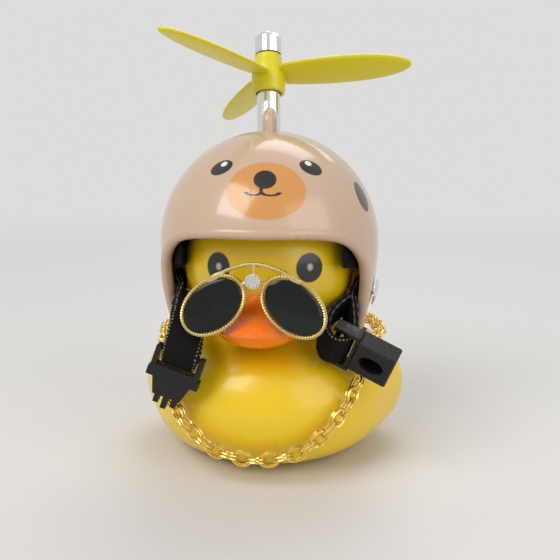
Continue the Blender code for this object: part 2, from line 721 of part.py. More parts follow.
def strap_anchor(helmet_matrix, side):
    """Middle of the strap's thickness under the rivet, and the way out of the shell, in the world."""
    place = helmet_matrix @ rivet_frame(side)
    outward = place.to_3x3().col[2].normalized()
    depth = SHELL_WALL + STRAP_SETBACK + STRAP_THICKNESS / 2
    return place.translation - outward * depth, outward


def lay_strap(name, tab, loop, anchor, outward, finish, rivet_matrix):
    """A tab from the rivet that opens into a closed loop of webbing."""
    forward = Vector((0.0, -1.0, 0.0))
    forward = (forward - outward * forward.dot(outward)).normalized() * STRAP_TAIL
    upright = forward.cross(outward) * math.copysign(1.0, outward.x)
    bow = outward * STRAP_BOW
    points = [anchor - forward - bow, anchor, anchor + forward - bow] + [Vector(row[0]) for row in tab]
    across = [upright.normalized()] * 3 + [Vector(row[1]) for row in tab]
    strip = ribbon(smooth_path(points, 3), smooth_path(across, 3), STRAP_WIDTH, STRAP_THICKNESS)
    strap = piece(name, strip, finish)
    loop_path = smooth_path([row[0] for row in loop], 3, closed=True)
    loop_sides = smooth_path([row[1] for row in loop], 3, closed=True)
    ring = ribbon(loop_path, loop_sides, 0.97 * STRAP_WIDTH, STRAP_THICKNESS, closed=True)
    combine(strap, guide(name + "_loop", ring), "UNION", "MANIFOLD")
    hole = guide(name + "_hole", rod(RIVET_STEM_RADIUS + GAP, 8 * STRAP_THICKNESS, 12), matrix=rivet_matrix)
    combine(strap, hole, "DIFFERENCE", "MANIFOLD")


def build_straps(helmet, socket, plug):
    """Both webbing straps, each looped round the bar of its buckle half."""
    webbing = material("webbing", (0.012, 0.012, 0.012), 0.8)
    left_loop = [((x, y, 0.0), (0.0, 0.0, 1.0)) for x, y in SOCKET_LOOP]
    for side, word, buckle, loop, knee in (
        (1, "left", socket, left_loop, None),
        (-1, "right", plug, PLUG_LOOP, STRAP_KNEE),
    ):
        place = buckle.matrix_world
        turned = place.to_3x3()
        laid = [(place @ Vector(point), turned @ Vector(across)) for point, across in loop]
        tab = [knee] if knee else []
        tab.append(laid[0])
        anchor, outward = strap_anchor(helmet.matrix_world, side)
        rivet_matrix = helmet.matrix_world @ rivet_frame(side)
        lay_strap("strap_" + word, tab, laid, anchor, outward, webbing, rivet_matrix)


def build_socket(place):
    """The female buckle half: a hollow box with an oval window and a bar for the webbing."""
    black = material("buckle_plastic", (0.010, 0.010, 0.010), 0.35)
    block = soften(box((SOCKET_LENGTH, SOCKET_THICKNESS, SOCKET_WIDTH)), 0.3 * SOCKET_WALL)
    body = piece("buckle_socket", block, black, place)
    room = box((SOCKET_LENGTH, SOCKET_THICKNESS - 2 * SOCKET_WALL, SOCKET_WIDTH - 2 * SOCKET_WALL),
               (2 * SOCKET_WALL, 0.0, 0.0))
    combine(body, guide("socket_room", room, place), "DIFFERENCE")
    window = rod(1.0, SOCKET_THICKNESS, 20)
    bmesh.ops.scale(window, vec=(SOCKET_WINDOW_LONG, SOCKET_WINDOW_SHORT, 1.0), verts=window.verts[:])
    facing = Matrix.Translation((0.0, -SOCKET_THICKNESS / 2, 0.0)) @ Matrix.Rotation(math.pi / 2, 4, "X")
    combine(body, guide("socket_window", window, place, facing), "DIFFERENCE")
    inside = STRAP_WIDTH + 2 * GAP
    span = inside + 2 * CHEEK_THICKNESS
    end = -SOCKET_LENGTH / 2
    flange = box((CHEEK_THICKNESS, 0.8 * SOCKET_THICKNESS, span), (end - GAP, 0.0, 0.0))
    combine(body, guide("socket_flange", flange, place), "UNION")
    far = BAR_X - 1.8 * BAR_RADIUS
    for sign, word in ((1, "top"), (-1, "foot")):
        cheek = box((end - far, CHEEK_HEIGHT, CHEEK_THICKNESS),
                    ((end + far) / 2, BAR_Y, sign * (inside + 0.96 * CHEEK_THICKNESS) / 2))
        combine(body, guide("socket_cheek_" + word, cheek, place), "UNION")
    bar = rod(BAR_RADIUS, span - CHEEK_THICKNESS, 8, Matrix.Translation((BAR_X, BAR_Y, 0.0)))
    combine(body, guide("socket_bar", bar, place), "UNION")


def build_plug(place):
    """The male buckle half: neck with a bar, crossbar wings, tapering body and prongs."""
    black = bpy.data.materials["buckle_plastic"]
    crossbar = 0.25 * PLUG_NECK_LENGTH
    neck = box((PLUG_WIDTH, PLUG_THICKNESS, crossbar), (0.0, 0.0, -PLUG_NECK_LENGTH))
    body = piece("buckle_plug", neck, black, place)
    for side in (1, -1):
        x = side * (PLUG_WIDTH + 0.9 * PLUG_CHEEK) / 2
        cheek = box((PLUG_CHEEK, 0.96 * PLUG_THICKNESS, PLUG_NECK_LENGTH + crossbar),
                    (x, 0.0, -PLUG_NECK_LENGTH / 2))
        combine(body, guide("plug_cheek_%s" % ("left" if side > 0 else "right"), cheek, place), "UNION")
    bar = rod(BAR_RADIUS, PLUG_WIDTH + PLUG_CHEEK, 8, Matrix.Rotation(math.pi / 2, 4, "Y"))
    combine(body, guide("plug_bar", bar, place), "UNION")
    wing_z = -PLUG_NECK_LENGTH - 0.45 * (crossbar + PLUG_WING_LENGTH)
    wings = box((PLUG_WIDTH + 2 * PLUG_WING_SPAN, 0.8 * PLUG_THICKNESS, PLUG_WING_LENGTH), (0.0, 0.0, wing_z))
    combine(body, guide("plug_wings", wings, place), "UNION")
    top = wing_z - 0.45 * PLUG_WING_LENGTH
    half = 0.36 * PLUG_THICKNESS
    rings = []
    for width, drop in ((0.5 * PLUG_WIDTH, 0.0), (0.36 * PLUG_WIDTH, PLUG_BODY_LENGTH)):
        rings.append([(width, half, top - drop), (-width, half, top - drop),
                      (-width, -half, top - drop), (width, -half, top - drop)])
    combine(body, guide("plug_taper", loft(rings), place), "UNION")
    for slot, length in ((-1, 0.7 * PLUG_PRONG_LENGTH), (0, PLUG_PRONG_LENGTH), (1, 0.7 * PLUG_PRONG_LENGTH)):
        drop = top - 0.97 * PLUG_BODY_LENGTH - length / 2
        prong = box((PLUG_PRONG_WIDTH, 1.6 * half, length), (1.6 * slot * PLUG_PRONG_WIDTH, 0.0, drop))
        combine(body, guide("plug_prong_%d" % (slot + 2), prong, place), "UNION")


def lens_outline(side, count, grow=0.0):
    """Slanted ellipse of one lens in the plane of the glasses."""
    slant = math.radians(LENS_SLANT) * side
    points = []
    for x, z in circle(1.0, count):
        x, z = x * (LENS_HALF_LENGTH + grow), z * (LENS_HALF_HEIGHT + grow)
        points.append(Vector((side * LENS_SPACING + x * math.cos(slant) + z * math.sin(slant), 0.0,
                              z * math.cos(slant) - x * math.sin(slant))))
    return points


def build_glasses():
    """Gold wire frame with temples, two lenses and a crystal on the bridge."""
    gold = material("frame_gold", (0.72, 0.52, 0.16), 0.25, 1.0)
    smoke = material("lens_dark", (0.01, 0.012, 0.012), 0.05)
    clear = material("crystal", (0.85, 0.88, 0.90), 0.02)
    place = frame("glasses_frame_axis", GLASSES_CENTRE, (GLASSES_NOD, 0.0, 0.0))
    bpy.context.view_layer.update()
    rim = tube(lens_outline(1, 28), RIM_WIRE, 6, up=(0.0, 1.0, 0.0), closed=True)
    wire = piece("glasses_frame", rim, gold, place)
    other = tube(lens_outline(-1, 28), RIM_WIRE, 6, up=(0.0, 1.0, 0.0), closed=True)
    combine(wire, guide("right_rim", other, place), "UNION")
    brow = smooth_path([(-BROW_HALF_SPAN, 0.0, BROW_ENDS), (-0.5 * BROW_HALF_SPAN, 0.0, 0.88 * BROW_RISE),
                        (0.0, 0.0, BROW_RISE), (0.5 * BROW_HALF_SPAN, 0.0, 0.88 * BROW_RISE),
                        (BROW_HALF_SPAN, 0.0, BROW_ENDS)], 3)
    combine(wire, guide("brow_wire", tube(brow, 0.97 * RIM_WIRE, 7, up=(0.0, 1.0, 0.0)), place), "UNION")
    inner = min(lens_outline(1, 28), key=lambda point: abs(point.x))
    middle = (0.0, 0.0, inner.z)
    bridge = tube([(-inner.x, 0.0, inner.z), middle, inner], 0.94 * RIM_WIRE, 7, up=(0.0, 1.0, 0.0))
    combine(wire, guide("bridge_wire", bridge, place), "UNION")
    to_frame = place.matrix_world.inverted()
    for side, word in ((1, "left"), (-1, "right")):
        tip = to_frame @ Vector((side * TEMPLE_TIP[0], TEMPLE_TIP[1], TEMPLE_TIP[2]))
        outline = lens_outline(side, 28)
        start = max(outline, key=lambda point: side * point.x)
        bend = start.lerp(tip, 0.35) + Vector((side * TEMPLE_BOW, 0.0, 0.0))
        path = smooth_path([start, bend, tip], 3)
        temple = tube(path, RIM_WIRE * 0.96, 7, up=(0.0, 0.0, 1.0))
        combine(wire, guide("temple_" + word, temple, place), "UNION")
        face = lens_outline(side, 24, -RIM_WIRE - LENS_SEAT)
        half = LENS_THICKNESS / 2
        lens = loft([[point + Vector((0.0, -half, 0.0)) for point in face],
                     [point + Vector((0.0, half, 0.0)) for point in face]])
        piece("lens_" + word, lens, smoke, place)
    build_crystal(place, clear)


def build_crystal(place, clear):
    """A faceted stone that stands in front of the bridge."""
    girdle = -RIM_WIRE - GAP - CRYSTAL_DEPTH * 0.5
    half, table = 0.5 * CRYSTAL_DEPTH, 0.6 * CRYSTAL_RADIUS
    profile = [(0.0, -half), (table, -half), (CRYSTAL_RADIUS, -0.2 * half), (CRYSTAL_RADIUS, 0.1 * half),
               (table, half), (0.0, half)]
    facing = Matrix.Translation((0.0, girdle, CRYSTAL_HEIGHT)) @ Matrix.Rotation(math.pi / 2, 4, "X")
    piece("crystal", lathe(profile, 10), clear, place, facing)


def link_ring(length, width, wire, around, sides):
    """One oval ring of wire in the XY plane, long along X."""
    points = [(length / 2 * x, width / 2 * y, 0.0) for x, y in circle(1.0, around)]
    return tube(points, wire, sides, up=(0.0, 0.0, 1.0), closed=True)


def chain_path():
    """The chain's closed centre line round the breast and neck."""
    route = smooth_path([(math.radians(turn), height, 0.0) for turn, height in CHAIN_ROUTE], 8)
    points = [duck_surface(turn, height, CHAIN_STANDOFF) for turn, height, _ in route]
    mirrored = [Vector((-point.x, point.y, point.z)) for point in points[-2:0:-1]]
    return points + mirrored


def link_matrix(points, index, tilt):
    """Frame of one link: X along the chain, turned about X by its tilt."""
    count = len(points)
    along = (points[(index + 1) % count] - points[index - 1]).normalized()
    centre = points[index]
    outward = Vector((centre.x, centre.y - (BODY_BACK - BODY_FRONT) / 2, 0.35 * BELLY_HEIGHT))
    outward = (outward - along * outward.dot(along)).normalized()
    across = outward.cross(along)
    basis = Matrix((along, across, outward)).transposed().to_4x4()
    return Matrix.Translation(centre) @ basis @ Matrix.Rotation(math.radians(tilt), 4, "X")


def build_chain():
    """Double-ring links round the neck: separate rings in front, one linked run behind."""
    gold = material("chain_gold", (0.80, 0.55, 0.12), 0.2, 1.0)
    path = chain_path()
    count = 2 * round(path_length(path) / CHAIN_PITCH / 2)
    points, pitch = even_path(path, count)
    length = pitch + 2 * CHAIN_WIRE + GAP + CHAIN_SLACK
    width = CHAIN_LINK_WIDTH - 2 * CHAIN_WIRE
    apart = CHAIN_WIRE + GAP / 2
    reach = CHAIN_FRONT_LINKS // 2
    for index in range(-reach, reach + 1):
        tilt = CHAIN_FLAT_TILT if index % 2 else CHAIN_EDGE_TILT
        matrix = link_matrix(points, index % count, tilt)
        for side, word in ((1, "a"), (-1, "b")):
            ring = link_ring(length, width, CHAIN_WIRE, 8, 4)
            place = Matrix.Translation((0.0, 0.0, side * apart))
            piece("chain_ring_%02d%s" % (index + reach + 1, word), ring, gold, matrix=matrix @ place)
    build_chain_back(path, count, reach, gold)


def build_chain_back(path, count, reach, gold):
    """The run behind the neck: one closed wire wound into lobes of the links' size."""
    points, _ = even_path(path, CHAIN_BACK_STEPS * count)
    first = CHAIN_BACK_STEPS * reach + CHAIN_BACK_STEPS // 2
    steps = CHAIN_BACK_STEPS * (count - 2 * reach - 1)
    radius = CHAIN_LINK_WIDTH / 2 - CHAIN_WIRE
    strands = ([], [])
    for step in range(steps + 1):
        matrix = link_matrix(points, first + step, 0.0)
        turn = math.pi * step / CHAIN_BACK_STEPS
        swing = Vector((0.0, radius * math.cos(turn), radius * math.sin(turn)))
        strands[0].append(matrix @ swing)
        strands[1].append(matrix @ -swing)
    wire = tube(strands[0] + strands[1][::-1], 1.2 * CHAIN_WIRE, 3, up=(0.0, 0.0, 1.0), closed=True)
    piece("chain_back", wire, gold)


def clear_scene():
    """Start from an empty scene."""
    for item in list(bpy.data.objects):
        bpy.data.objects.remove(item, do_unlink=True)


def main():
    """Build every piece in its place."""
    clear_scene()
    helmet = frame("helmet_frame", HELMET_CENTRE, (-HELMET_LEAN, 0.0, 0.0))
    axle = frame("post_axis", HELMET_CENTRE, (-POST_LEAN, POST_ROLL, 0.0))
    bpy.context.view_layer.update()
    build_duck()
    build_helmet(helmet, axle)
    build_post(axle)
    build_propeller(axle)
    build_rivets(helmet)
    socket = frame("socket_frame", *SOCKET_PLACE)
    plug = frame("plug_frame", *PLUG_PLACE)
    bpy.context.view_layer.update()
    build_socket(socket)
    build_plug(plug)
    build_straps(helmet, socket, plug)
    build_glasses()
    build_chain()


main()
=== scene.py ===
"""Looks of a toy duck with a bear-face helmet, propeller, sunglasses and neck chain.

Lengths are metres in the row frame: +Z up, the duck looks along -Y, its left side is +X.
"""

import logging
import math
from dataclasses import dataclass
from enum import Enum
from typing import Sequence

import bmesh
import bpy
from mathutils import Euler, Matrix, Vector


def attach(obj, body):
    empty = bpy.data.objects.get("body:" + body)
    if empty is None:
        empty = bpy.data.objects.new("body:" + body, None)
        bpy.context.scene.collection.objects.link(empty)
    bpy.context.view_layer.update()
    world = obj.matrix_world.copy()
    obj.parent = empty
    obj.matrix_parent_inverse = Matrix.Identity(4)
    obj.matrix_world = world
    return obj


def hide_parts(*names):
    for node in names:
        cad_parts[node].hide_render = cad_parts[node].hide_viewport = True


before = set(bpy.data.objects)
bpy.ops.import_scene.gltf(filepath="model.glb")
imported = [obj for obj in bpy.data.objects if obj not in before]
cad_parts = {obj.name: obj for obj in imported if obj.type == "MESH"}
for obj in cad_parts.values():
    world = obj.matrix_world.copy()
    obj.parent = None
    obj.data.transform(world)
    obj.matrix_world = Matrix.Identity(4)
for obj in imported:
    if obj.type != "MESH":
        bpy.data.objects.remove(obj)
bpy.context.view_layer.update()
logging.basicConfig(level=logging.INFO, format="%(message)s")
LOG = logging.getLogger("scene")

Ring = list[Vector]
Triple = tuple[float, float, float]
Curve = tuple[tuple[float, float], ...]
Rows = list[tuple[float, float, float, float]]
Socket = bpy.types.NodeSocket
Value = Socket | float | Sequence[float]
FULL_TURN = 2 * math.pi
UP = (0.0, 0.0, 1.0)
WELD_DISTANCE = 1e-6
SPECULAR = "Specular IOR Level"
COAT_ROUGHNESS = 0.06
NOISE_RANGE = (0.3, 0.7)
LINE_SOFTNESS = 0.3
LINE_CUT = 0.05


class Body(Enum):
    """The CAD bodies that pieces ride on."""

    DUCK = "duck"
    ROTOR = "rotor"


class Side(Enum):
    """The duck's own sides, as the sign of X."""

    LEFT = 1
    RIGHT = -1


class Colour(Enum):
    """Linear colours of the finishes, the prints, and the painted highlights, sheen and reflection."""

    BACKGROUND = (0.72, 0.72, 0.71)
    FLOOR = (0.74, 0.73, 0.72)
    DAYLIGHT = (1.0, 0.99, 0.98)
    VINYL = (0.87, 0.585, 0.005)
    BEAK = (0.95, 0.19, 0.003)
    HELMET = (0.61, 0.43, 0.30)
    RIM = (0.60, 0.42, 0.29)
    FOAM = (0.009, 0.009, 0.009)
    CHROME = (0.78, 0.78, 0.80)
    LEMON = (0.74, 0.64, 0.012)
    WEBBING = (0.007, 0.007, 0.007)
    # Painted highlight on the webbing's weave, laid in ticks along its edges.
    EDGE_HIGHLIGHT = (0.22, 0.22, 0.23)
    BUCKLE = (0.008, 0.008, 0.008)
    # Painted blue-grey sheen on the buckle's upward faces.
    TOP_SHEEN = (0.045, 0.050, 0.065)
    WIRE = (0.66, 0.53, 0.22)
    GOLD = (0.86, 0.64, 0.17)
    LENS = (0.003, 0.004, 0.004)
    # Painted greenish reflection low on the lenses.
    LENS_REFLECTION = (0.006, 0.013, 0.010)
    CRYSTAL = (0.9, 0.93, 0.96)
    SQUEAKER = (0.7, 0.7, 0.66)
    EYE = (0.006, 0.005, 0.004)
    IRIS = (0.30, 0.26, 0.21)
    GLINT = (0.52, 0.48, 0.42)
    MUZZLE = (0.66, 0.30, 0.08)
    INK = (0.008, 0.006, 0.005)
    WHITE = (0.85, 0.83, 0.8)
    EAR = (0.035, 0.030, 0.024)

    @property
    def opaque(self) -> tuple[float, float, float, float]:
        """Give the colour as a socket takes it.

        Returns:
            Red, green, blue and full alpha.
        """
        return (*self.value, 1.0)


@dataclass(frozen=True)
class Spot:
    """A printed ellipse; the Y of its half sizes goes through the surface."""

    at: Triple
    radii: Triple
    edge: float
    colour: Colour
    roll: float = 0.0


# In the helmet's frame.
FACE = (
    Spot((0.0026, -0.0318, 0.0137), (0.0110, 0.0080, 0.0089), 0.03, Colour.MUZZLE),
    Spot((0.0021, -0.0306, 0.0163), (0.0031, 0.0050, 0.0030), 0.06, Colour.INK),
    Spot((0.0013, -0.0320, 0.0137), (0.0005, 0.005, 0.0018), 0.2, Colour.INK),
    Spot((-0.0107, -0.0259, 0.0199), (0.0034, 0.005, 0.0027), 0.06, Colour.INK, -22.0),
    Spot((-0.0100, -0.0253, 0.0208), (0.0010, 0.003, 0.0009), 0.15, Colour.WHITE, -22.0),
    Spot((0.0140, -0.0239, 0.0202), (0.0034, 0.005, 0.0027), 0.06, Colour.INK, 22.0),
    Spot((0.0131, -0.0232, 0.0213), (0.0010, 0.003, 0.0009), 0.15, Colour.WHITE, 22.0),
    Spot((0.0281, -0.0130, 0.0131), (0.0034, 0.005, 0.0047), 0.08, Colour.EAR),
    Spot((-0.0303, -0.0070, 0.0131), (0.0034, 0.005, 0.0047), 0.08, Colour.EAR),
)
# Two lower halves of an outline, whose edge is the half width of the line.
MOUTH = (
    Spot((-0.0007, -0.0326, 0.0129), (0.0021, 0.005, 0.0010), 0.26, Colour.INK),
    Spot((0.0039, -0.0326, 0.0129), (0.0024, 0.005, 0.0010), 0.26, Colour.INK),
)
EYES = (
    Spot((-0.0119, -0.0234, 0.0611), (0.0040, 0.006, 0.0042), 0.06, Colour.EYE),
    Spot((0.0141, -0.0221, 0.0611), (0.0042, 0.006, 0.0042), 0.06, Colour.EYE),
)
# Placed from the middle of the eye.
GLINTS = (
    Spot((0.0002, -0.0002, 0.0002), (0.0010, 0.004, 0.0011), 0.2, Colour.IRIS),
    Spot((0.0002, -0.0002, 0.0002), (0.0007, 0.004, 0.0008), 0.3, Colour.GLINT),
)


@dataclass(frozen=True)
class DuckSizes:
    """Sizes of the vinyl duck."""

    half_width: float = 0.0390
    front: float = 0.0330
    back: float = 0.0460
    belly_height: float = 0.0190
    shoulder_rise: float = 0.0230
    belly_angles: tuple[float, ...] = (-72.0, -55.0, -36.0, -16.0, 6.0, 26.0, 43.0, 64.0)
    belly_fullness: float = 0.5
    shoulder_fullness: float = 0.75
    head_radius: float = 0.0262
    head_half_height: float = 0.0270
    head_height: float = 0.0600
    head_angles: tuple[float, ...] = (-42.0, -18.0, 6.0, 30.0, 48.0, 64.0, 78.0)
    wing_swell: float = 0.0040
    wing_start: float = 0.5
    swell_full: float = 0.95
    wing_y: float = 0.0190
    wing_height: float = 0.0230
    wing_length: float = 0.0190
    wing_depth: float = 0.0120
    wing_slope: float = 0.35
    tail_start: float = 0.3
    tail_reach: float = 0.0090
    tail_rise: float = 0.0100
    tail_height: float = 0.0310
    tail_depth: float = 0.0090
    tail_half_width: float = 0.0130
    beak_half_width: float = 0.0126
    beak_reach: float = 0.0110
    beak_height: float = 0.0450
    beak_lower: float = 0.0064
    beak_upper: float = 0.0115
    beak_taper: float = 0.62
    beak_back: float = 0.0012
    beak_lean: float = 0.45
    beak_ridge: float = 0.35
    lip: float = 0.0009
    lip_height: float = -0.05
    lip_spread: float = 0.16
    beak_segments: int = 64
    beak_rings: int = 40
    segments: int = 96
    steps: int = 6


@dataclass(frozen=True)
class HelmetSizes:
    """Sizes of the helmet shell, in its own leaned frame."""

    half_width: float = 0.0335
    half_depth: float = 0.0350
    wall: float = 0.0022
    rise: float = 0.0337
    skirt: float = 0.0520
    centre: Triple = (0.0, 0.0010, 0.0655)
    lean: float = 8.0
    bead: float = 0.0017
    loop_y: float = -0.0045
    loop_half_span: float = 0.0029
    loop_radius: float = 0.0018
    loop_stand: float = 0.0048
    rivet_height: float = -0.0147
    segments: int = 144
    rows: int = 30
    rim_steps: int = 6
    bead_sides: int = 16
    bead_up: Triple = (0.0, 0.1, 1.0)
    loop_steps: int = 16
    loop_sides: int = 20
    rim: Curve = (
        (0.0, 0.0015), (20.0, 0.0017), (36.0, 0.0016), (48.0, 0.0004), (58.0, -0.0026),
        (66.0, -0.0070), (71.0, -0.0130), (74.0, -0.0190), (79.0, -0.0240), (88.0, -0.0262),
        (98.0, -0.0240), (108.0, -0.0190), (125.0, -0.0160), (150.0, -0.0150), (180.0, -0.0150),
    )


@dataclass(frozen=True)
class PropellerSizes:
    """Sizes of the propeller along its leaned axis; the hub's outline is radius and share of its height."""

    lean: float = 16.5
    roll: float = -2.5
    spindle: float = 0.0019
    post: float = 0.0037
    hub_bottom: float = 0.0474
    hub_height: float = 0.0125
    hub_outline: Curve = (
        (0.0049, 0.0), (0.0052, 0.032), (0.0053, 0.10), (0.0054, 0.30), (0.0053, 0.52), (0.0051, 0.62),
        (0.0049, 0.70), (0.0047, 0.76), (0.00455, 0.81), (0.0043, 0.86), (0.0043, 0.94), (0.0040, 1.0),
    )
    socket_depth: float = 0.0030
    running_gap: float = 0.0004
    blades: int = 3
    reach: float = 0.0450
    root: float = 0.0036
    widest: float = 0.0220
    chord: float = 0.0132
    thickness: float = 0.0019
    thinnest: float = 0.45
    thickening: float = 1.5
    bluntness: float = 0.8
    root_narrowing: float = 0.25
    tip_fullness: float = 2.4
    hub_segments: int = 64
    blade_steps: int = 40
    blade_sides: int = 24
    pitch: float = 15.0
    turn: float = -3.7


@dataclass(frozen=True)
class StrapSizes:
    """Sizes of the webbing and the places of both buckle halves."""

    width: float = 0.0098
    thickness: float = 0.0018
    rib_pitch: float = 0.00075
    rib_depth: float = 0.22
    # Spacing of the painted highlight ticks along the band's edges.
    highlight_pitch: float = 0.00095
    tail: float = 0.0034
    rib_narrowing: float = 0.25
    setback: float = 0.0008
    sewn_depth: float = 0.001
    bow: float = 0.0004
    section: Curve = (
        (1.0, 0.5), (0.9, 1.0), (-0.9, 1.0), (-1.0, 0.5),
        (-1.0, -0.5), (-0.9, -1.0), (0.9, -1.0), (1.0, -0.5),
    )
    steps: int = 40
    socket_place: tuple[Triple, Triple] = ((0.0325, -0.0255, 0.0362), (22.0, 24.0, -11.0))
    plug_place: tuple[Triple, Triple] = ((-0.0208, -0.0322, 0.0379), (0.0, 20.0, 0.0))
    socket_loop: Curve = (
        (-0.0148, 0.0165), (-0.0160, 0.0130), (-0.0170, 0.0055), (-0.0157, -0.0012), (-0.0126, -0.0047),
        (-0.0092, -0.0030), (-0.0083, 0.0023), (-0.0110, 0.0095), (-0.0132, 0.0140),
    )
    plug_loop: tuple[tuple[Triple, Triple], ...] = (
        ((-0.0054, 0.0165, 0.0086), (-0.73, -0.40, 0.53)), ((-0.0034, 0.0085, 0.0099), (-0.85, -0.35, 0.35)),
        ((-0.0012, 0.0008, 0.0076), (-0.95, -0.20, 0.15)), ((0.0, -0.0029, 0.0016), (-1.0, 0.0, 0.0)),
        ((0.0, 0.0001, -0.0031), (-1.0, 0.0, 0.0)), ((0.0, 0.0033, 0.0006), (-1.0, 0.0, 0.0)),
        ((-0.0016, 0.0062, 0.0046), (-0.95, -0.15, 0.15)), ((-0.0040, 0.0120, 0.0056), (-0.85, -0.30, 0.35)),
    )
    knee: tuple[Triple, Triple] = ((-0.0258, -0.0086, 0.0493), (-0.15, -0.05, 0.98))


# Numbers on the band's vertices: 1 on its edges, and the phase of its painted edge highlights.
BAND_MARKS = ("edge", "along")


@dataclass(frozen=True)
class GlassesSizes:
    """Sizes of the sunglasses, in their own nodded frame; the arms' feet are in the row frame."""

    centre: Triple = (0.0, -0.0362, 0.0528)
    nod: float = -6.0
    spacing: float = 0.0108
    half_length: float = 0.0096
    half_height: float = 0.0066
    slant: float = 41.0
    lens_thickness: float = 0.0010
    lens_bulge: float = 0.0007
    wire: float = 0.00058
    strand: float = 0.00034
    brow_half_span: float = 0.0125
    brow: Curve = (
        (-1.0, 0.0068), (-0.5, 0.009856), (0.0, 0.0112), (0.5, 0.009856), (1.0, 0.0068),
    )
    crystal_radius: float = 0.0021
    crystal_height: float = 0.0068
    crystal_depth: float = 0.0022
    lens_seat: float = 0.00012
    lens_edge: float = 0.0002
    lens_rings: tuple[float, ...] = (1.0, 0.96, 0.85, 0.7, 0.5, 0.3, 0.12)
    lens_steps: int = 72
    rim_twists: int = 34
    rim_steps: int = 300
    brow_twists: int = 22
    brow_steps: int = 50
    strand_sides: int = 6
    thin_share: float = 0.8
    thin_sides: int = 10
    arm_share: float = 0.96
    arm_sides: int = 12
    arm_corners: int = 28
    steps: int = 8
    gusset: Curve = ((0.62, 0.0094), (0.84, 0.0079), (1.0, 0.0068))
    gusset_drop: float = -0.0004
    gusset_start: float = 0.25
    gusset_height: float = 1.9
    gusset_steps: int = 6
    gusset_sides: int = 12
    bridge: tuple[Triple, ...] = ((-0.0034, 0.0, 0.0058), (0.0, 0.0, 0.0068), (0.0034, 0.0, 0.0058))
    prong: tuple[Triple, ...] = ((0.0, -0.0002, 0.0068), (0.0, -0.0002, 0.0092), (0.0, -0.0002, 0.0112))
    stone: Curve = (
        (0.0, -0.5), (0.45, -0.42), (1.0, -0.08), (1.0, 0.06), (0.62, 0.5), (0.0, 0.5),
    )
    facets: int = 10
    gap: float = 0.0003
    arm_foot: Triple = (0.0150, -0.0160, 0.0455)


@dataclass(frozen=True)
class ChainSizes:
    """Sizes of the neck chain: turn from the front in degrees, height in the world."""

    route: Curve = (
        (0.0, 0.0096), (16.0, 0.0115), (26.0, 0.0160), (36.0, 0.0220), (47.0, 0.0285),
        (60.0, 0.0325), (75.0, 0.0338), (90.0, 0.0335), (130.0, 0.0350), (180.0, 0.0370),
    )
    wire: float = 0.00030
    link_width: float = 0.0046
    pitch: float = 0.0039
    standoff: float = 0.0033
    overlap: float = 0.00168
    apart: float = 0.00044
    flat_tilt: float = 12.0
    edge_tilt: float = 82.0
    facing: float = 0.35
    ring_steps: int = 28
    ring_sides: int = 8
    steps: int = 8


def placed(centre: Sequence[float], angles: Sequence[float]) -> Matrix:
    """Give a turned frame.

    Args:
        centre: Where it stands.
        angles: Its turns about X, Y and Z, in degrees.

    Returns:
        The frame.
    """
    return Matrix.Translation(centre) @ Euler([math.radians(angle) for angle in angles]).to_matrix().to_4x4()


def smooth_path(points: Sequence[Sequence[float]], per_span: int, closed: bool = False) -> list[Vector]:
    """Run a Catmull-Rom curve through points.

    Args:
        points: Points to pass through.
        per_span: Steps between two of them.
        closed: Whether the curve returns to its start.

    Returns:
        The curve's points.
    """
    knots = [Vector(point) for point in points]
    count = len(knots)
    made = []
    for span in range(count if closed else count - 1):
        if closed:
            a, b, c, d = (knots[(span + shift) % count] for shift in (-1, 0, 1, 2))
        else:
            a, b, c, d = (knots[min(max(span + shift, 0), count - 1)] for shift in (-1, 0, 1, 2))
        for step in range(per_span):
            t = step / per_span
            made.append(0.5 * (2 * b + (c - a) * t + (2 * a - 5 * b + 4 * c - d) * t * t
                               + (3 * b - a - 3 * c + d) * t ** 3))
    if not closed:
        made.append(knots[-1])
    return made


def even_path(points: Sequence[Vector], count: int) -> tuple[list[Vector], float]:
    """Resample a closed path at even steps.

    Args:
        points: The closed path.
        count: How many points to make.

    Returns:
        The points and the step between them.
    """
    loop = list(points) + [points[0]]
    lengths = [(b - a).length for a, b in zip(loop, loop[1:])]
    step = sum(lengths) / count
    made: list[Vector] = []
    travelled = 0.0
    for start, end, length in zip(loop, loop[1:], lengths):
        while len(made) < count and len(made) * step <= travelled + length - 1e-9:
            made.append(start.lerp(end, (len(made) * step - travelled) / length))
        travelled += length
    return made, step


def circle(radius: float, count: int) -> list[tuple[float, float]]:
    """Give the corners of a circle.

    Args:
        radius: Its radius.
        count: How many corners.

    Returns:
        Pairs of coordinates.
    """
    turns = (FULL_TURN * index / count for index in range(count))
    return [(radius * math.cos(turn), radius * math.sin(turn)) for turn in turns]


def tangents(points: Sequence[Vector], closed: bool) -> list[Vector]:
    """Give the unit directions along a path.

    Args:
        points: The path.
        closed: Whether it returns to its start.

    Returns:
        One direction a point.
    """
    last = len(points) - 1
    made = []
    for index in range(last + 1):
        if closed:
            before, after = points[index - 1], points[(index + 1) % (last + 1)]
        else:
            before, after = points[max(index - 1, 0)], points[min(index + 1, last)]
        made.append((after - before).normalized())
    return made


